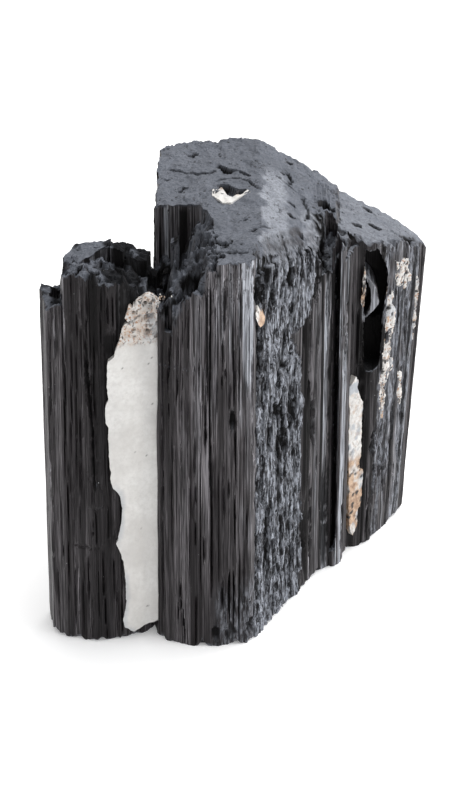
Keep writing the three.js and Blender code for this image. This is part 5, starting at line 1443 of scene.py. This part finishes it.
def main_pit_shade(co):
    # painted shade in the cracks and pits of the broken top, the torn corner above the right-hand face, the rubble of
    # the notch, two bands on the notch's back wall and the three holes of the pocket
    x, y, z = co.T
    pits = sstep(0.12, 0.45, cracks(x, y, TOP_MARKS)) * sstep(56, 58, z)
    pits = np.maximum(pits, sstep(0.02, 0.22, fbm(x * 0.9, y * 0.9, 714, 3)) * sstep(13.2, 14.5, x) * (1 - sstep(3, 5, y)) * sstep(53, 54, z))
    near = sstep(2.4, 1.0, notch_height(x, y) - z)
    low = sstep(0.6, 2.0, main_top(x, y) - z) * sstep(-1.0, -0.4, -x) * (1 - sstep(-6, -5, y)) * sstep(50, 53, z) * near
    rub = low * sstep(0.10, 0.34, fbm(x * 0.8, y * 0.8 + z * 0.5, 715, 3) + 0.35 * sstep(62, 57, z) + 0.25 * np.exp(-(((x + 5.2) / 1.3) ** 2 + ((y + 23.6) / 1.8) ** 2)) + 0.3 * np.exp(-(((x + 5.0) / 1.6) ** 2 + ((y + 16.9) / 1.0) ** 2)))
    # painted shade in upright bands on the wall at the back of the notch
    wall_at = sstep(-7, -5.6, y) * sstep(52, 54, z) * (1 - sstep(2, 4, y)) * sstep(0.3, 0.8, main_top(x, y) - z)
    q = x + 0.12 * vnoise(z * 0.2, x * 0, 716)
    rub = np.maximum(rub, wall_at * 0.95 * np.maximum(sstep(-7.4, -7.1, q) * (1 - sstep(-6.1, -5.8, q)), sstep(-10.2, -10.1, q) * (1 - sstep(-10.0, -9.85, q))))
    for cx, cy, r in [(-0.3, 1.0, 1.0), (0.9, -0.9, 1.15), (2.8, -0.1, 0.95)]:
        pits = np.maximum(pits, sstep(1.15, 0.8, np.hypot(x - cx, y - cy) / r) * sstep(60, 62, z) * sstep(0.9, 1.6, 67.6 - z))
    return np.maximum(pits, rub)


def right_pit_shade(co):
    """Pits of the sloping end face, and the foot of the cavity, where no light reaches."""
    x, y, z = co.T
    pits = sstep(0.12, 0.4, cracks(x, y, RIGHT_MARKS)) * sstep(45, 47, z)
    inside = sstep(0.12, 0.45, y - np.interp(x, [20.5, 22.6, 24.2, 30.6], [2.6, 3.6, 5.0, 16.2]))
    foot = inside * sstep(21.2, 21.6, x) * (1 - sstep(25.6, 26.0, x)) * sstep(31, 32, z) * (1 - sstep(41.5, 43.5, z))
    return np.maximum(pits, 0.97 * foot)


def grit_main(co):
    """The rubble of the broken corner, each facet its own shade."""
    x, y, z = co.T
    m = sstep(-9.0, -7.5, x) * (1 - sstep(-0.6, 0.0, x)) * (1 - sstep(-8.5, -7.5, y)) * sstep(-27.2, -26.4, y) * sstep(57, 59, z) * sstep(2.0, 1.0, notch_height(x, y) - z)
    return m * np.clip(0.58 + 0.5 * facets2d(x, y, 1.1, 145, 0.3) + 0.4 * facets2d(x, y, 2.4, 143, 0.3), 0.12, 0.95)


def notch_painted_light(co):
    """Painted light on columns of the wall at the back of the notch, on the rubble of the broken corner and on the
    column at the notch's front corner.
    """
    x, y, z = co.T
    q = x + 0.10 * vnoise(z * 0.15, x * 0 + 3, 717)
    a = 0.48 * sstep(-9.95, -9.75, q) * (1 - sstep(-8.95, -8.75, q)) + 0.20 * sstep(-8.6, -8.4, q) * (1 - sstep(-7.6, -7.4, q)) + 0.15 * sstep(-5.8, -5.6, q)
    b = 0.26 * sstep(-7.5, -6, x) * (1 - sstep(-0.8, -0.2, x)) * (1 - sstep(-9, -8, y)) * sstep(-26.5, -25, y) * sstep(59, 61, z) * np.clip(0.45 + 0.6 * facets2d(x, y, 1.1, 145, 0.3) + 0.5 * facets2d(x, y, 2.4, 143, 0.3), 0.1, 1.7)
    b = b * sstep(2.4, 1.0, notch_height(x, y) - z)
    return b + a * sstep(-7, -5.6, y) * (1 - sstep(2, 4, y)) * sstep(52, 55, z) * (1 - sstep(-2, -1, x)) + 0.30 * (np.hypot(x + 7.8, y + 13) < 1.4) * sstep(54, 56, z)


stone_attributes(main, MAIN, main_sheen, rough_zone, main_recess_shade, torn_main, slope_light_main, main_pit_shade, light=notch_painted_light, grit=grit_main)
stone_attributes(left, LEFT, left_sheen, lambda S, Z: S * 0, left_recess_shade, lambda co: 0.5 * sstep(-15.5, -14, co[:, 0]) * sstep(48, 52, co[:, 2]), None,
                 lambda co: np.maximum(sstep(0.12, 0.4, cracks(co[:, 0], co[:, 1], LEFT_MARKS)) * sstep(55, 57, co[:, 2]),
                                       sstep(0.02, 0.4, fbm(co[:, 0] * 0.5, co[:, 1] * 0.5, 721, 3) + 0.6 * sstep(-18, -15.5, co[:, 0])) * 0.92 * sstep(50, 53, co[:, 2])))
# right crystal: painted light over its whole sloping top, and a lighter patch on the chip in its cavity that also
# clears the painted shade there
stone_attributes(right, RIGHT, right_sheen, lambda S, Z: 0.7 * right_rough(S, Z) * sstep(12.8, 14.0, S), right_recess_shade, None, lambda co: 0.30 + 0.2 * fbm(co[:, 0] * 0.7, co[:, 1] * 0.7, 731, 3),
                 right_pit_shade, 0.5, 1.3, 0.95,
                 lambda co: 0.5 * (1 - sstep(4.3, 4.7, co[:, 1])) * sstep(21.5, 21.8, co[:, 0]) * (1 - sstep(24.6, 24.9, co[:, 0])) * sstep(42, 43.5, co[:, 2]) * (1 - sstep(50.5, 51.5, co[:, 2])))


def plain_attributes(o, stain_at, grey_at=0.0, dark_at=0.62, seed=800, mottle=0.0):
    """Brown, grey and dark patches over a small piece; each is a threshold on smooth noise."""
    co = coords(o.data)
    a, b = co[:, 0] * 0.7 + co[:, 1] * 0.7, co[:, 2]
    attribute(o.data, "mottle", a * 0 + mottle)
    attribute(o.data, "stain", sstep(stain_at, stain_at + 0.2, fbm(a * 1.6, b * 1.1, seed, 3)))
    attribute(o.data, "grey", grey_at * sstep(0.1, 0.4, fbm(a * 0.7, b * 0.5, seed + 1, 3)))
    attribute(o.data, "dark", sstep(dark_at, dark_at + 0.15, fbm(a * 1.6, b * 1.6, seed + 2, 2)))


# stained seam: white above, brown below
co = coords(vr.data)
b, a = co[:, 2], co[:, 0]
st = sstep(19.5, 16.8, b + 0.8 * fbm(a, b * 0.6, 811, 2)) * sstep(-0.35, 0.0, fbm(a * 0.8, b * 0.5, 812, 3))
st = np.maximum(st, sstep(0.30, 0.45, fbm(a * 1.4, b * 0.9, 813, 3)) * 0.30)
attribute(vr.data, "mottle", a * 0 + 0.28)
attribute(vr.data, "stain", st)
attribute(vr.data, "grey", 0.8 * sstep(0.1, 0.35, fbm(a * 1.1, b * 0.45, 814, 3)))
attribute(vr.data, "dark", sstep(0.40, 0.55, fbm(a * 1.5, b * 1.1, 815, 2)) * sstep(22, 16, b))
for k, (n, o) in enumerate(crusts.items()):
    plain_attributes(o, 0.34, 0.6, 0.38, 820 + 5 * k, 0.85)
plain_attributes(splinter, -0.2, 0.0, 0.28, 850, 0.9)
plain_attributes(lump, 0.42, 0.25, 0.6, 855, 0.1)
fc = coords(flake.data)
attribute(flake.data, "stain", sstep(4.95, 5.25, fc[:, 0] + 0.25 * fbm(fc[:, 2] * 1.2, fc[:, 0], 861, 2)))
attribute(flake.data, "grey", fc[:, 0] * 0)
attribute(flake.data, "mottle", fc[:, 0] * 0 + 0.8)
attribute(flake.data, "dark", fc[:, 0] * 0)

PIECES = [
    finish_piece(main, "tourmaline_main", TOURMALINE, 24),
    finish_piece(left, "tourmaline_left", TOURMALINE, 24),
    finish_piece(right, "tourmaline_right", TOURMALINE, 24, fan),
    finish_piece(vein, "feldspar_vein_left", FELDSPAR, 50),
    finish_piece(lump, "feldspar_pocket_top", FELDSPAR, 50),
    finish_piece(vr, "feldspar_vein_right", STAINED, 50, fan),
    finish_piece(flake, "feldspar_flake_front", STAINED, 50),
    finish_piece(splinter, "stained_splinter", STAINED, 50, fan),
] + [finish_piece(o, n, FELDSPAR, 50, fan) for n, o in crusts.items()]

me = crumbs.data
put(me, (coords(me) - np.array([CX, CY, 0.0])) / 1000.0)
me.materials.append(STAINED)
piece = bpy.data.objects.new("feldspar_crumbs", me)
scene.collection.objects.link(piece)
bpy.data.objects.remove(crumbs)
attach(piece, "root")
PIECES.append(piece)

for o in list(BIN.objects):
    bpy.data.objects.remove(o)
bpy.data.collections.remove(BIN)
for me in [m for m in bpy.data.meshes if m.users == 0]:
    bpy.data.meshes.remove(me)

# ------------------------------------------------------------------ floor, light, camera
bm_v = np.array([(-3, -3, 0), (3, -3, 0), (3, 3, 0), (-3, 3, 0)], np.float32)
fme = bpy.data.meshes.new("studio_floor")
fme.from_pydata([tuple(v) for v in bm_v], [], [(0, 1, 2, 3)])
fme.materials.append(floor_look())
floor = bpy.data.objects.new("studio_floor", fme)
scene.collection.objects.link(floor)

world = bpy.data.worlds.new("studio")
scene.world = world
world.use_nodes = True
nt = world.node_tree
nt.nodes.clear()
wo = node(nt, "ShaderNodeOutputWorld")
bg = node(nt, "ShaderNodeBackground")
bg.inputs["Color"].default_value = (1.0, 1.0, 1.0, 1.0)
nt.links.new(bg.outputs[0], wo.inputs[0])
# white round the horizon; above it brighter towards the back right than towards the front left
way = node(nt, "ShaderNodeTexCoord").outputs["Generated"]
split = node(nt, "ShaderNodeSeparateXYZ")
nt.links.new(way, split.inputs[0])
dot = node(nt, "ShaderNodeVectorMath", operation="DOT_PRODUCT")
nt.links.new(way, dot.inputs[0])
dot.inputs[1].default_value = (0.52, 0.30, 0.80)


def map_range(src, *v):
    n = node(nt, "ShaderNodeMapRange", clamp=True)
    nt.links.new(src, n.inputs["Value"])
    for k, q in zip(("From Min", "From Max", "To Min", "To Max"), v):
        n.inputs[k].default_value = q
    return n.outputs[0]


sky = map_range(dot.outputs["Value"], 0.05, 0.85, 0.45, 1.25)
blend = node(nt, "ShaderNodeMix", data_type="FLOAT")
nt.links.new(map_range(split.outputs["Z"], 0.16, 0.34, 0.0, 1.0), blend.inputs[0])
blend.inputs[2].default_value = 1.0
nt.links.new(sky, blend.inputs[3])
nt.links.new(blend.outputs[0], bg.inputs["Strength"])


def lamp(name, at, aim, size, watts, color=(1, 1, 1), shape="RECTANGLE", size_y=None):
    d = bpy.data.lights.new(name, "AREA")
    d.shape, d.size, d.energy, d.color = shape, size, watts, color
    if size_y and shape == "RECTANGLE":
        d.size_y = size_y
    o = bpy.data.objects.new(name, d)
    o.location = at
    o.rotation_euler = (Vector(aim) - Vector(at)).to_track_quat("-Z", "Y").to_euler()
    scene.collection.objects.link(o)
    return o


lamp("soft_overhead", (0.25, 0.25, 0.9), (0, 0, 0.03), 0.7, 5.0, (1.0, 0.99, 0.98), size_y=0.7)
lamp("soft_right", (0.75, -0.2, 0.35), (0, 0, 0.03), 0.45, 2.5, (0.96, 0.98, 1.0), size_y=0.45)

cam = bpy.data.cameras.new("camera")
cam.lens, cam.sensor_width, cam.sensor_fit = 135.0, 36.0, "AUTO"
cam.clip_start, cam.clip_end = 0.01, 20.0
camera = bpy.data.objects.new("camera", cam)
camera.location = ((0 - CX) / 1000, (-434.41 - CY) / 1000, 0.26098)
camera.rotation_euler = (math.radians(90 - 28), 0, 0)
scene.collection.objects.link(camera)
scene.camera = camera
scene.view_settings.view_transform = "Standard"
scene.view_settings.look = "None"

total = 0
for p in PIECES:
    p.data.calc_loop_triangles()
    n = len(p.data.loop_triangles)
    total += n
    print("piece", p.name, n)
print("triangles", total)
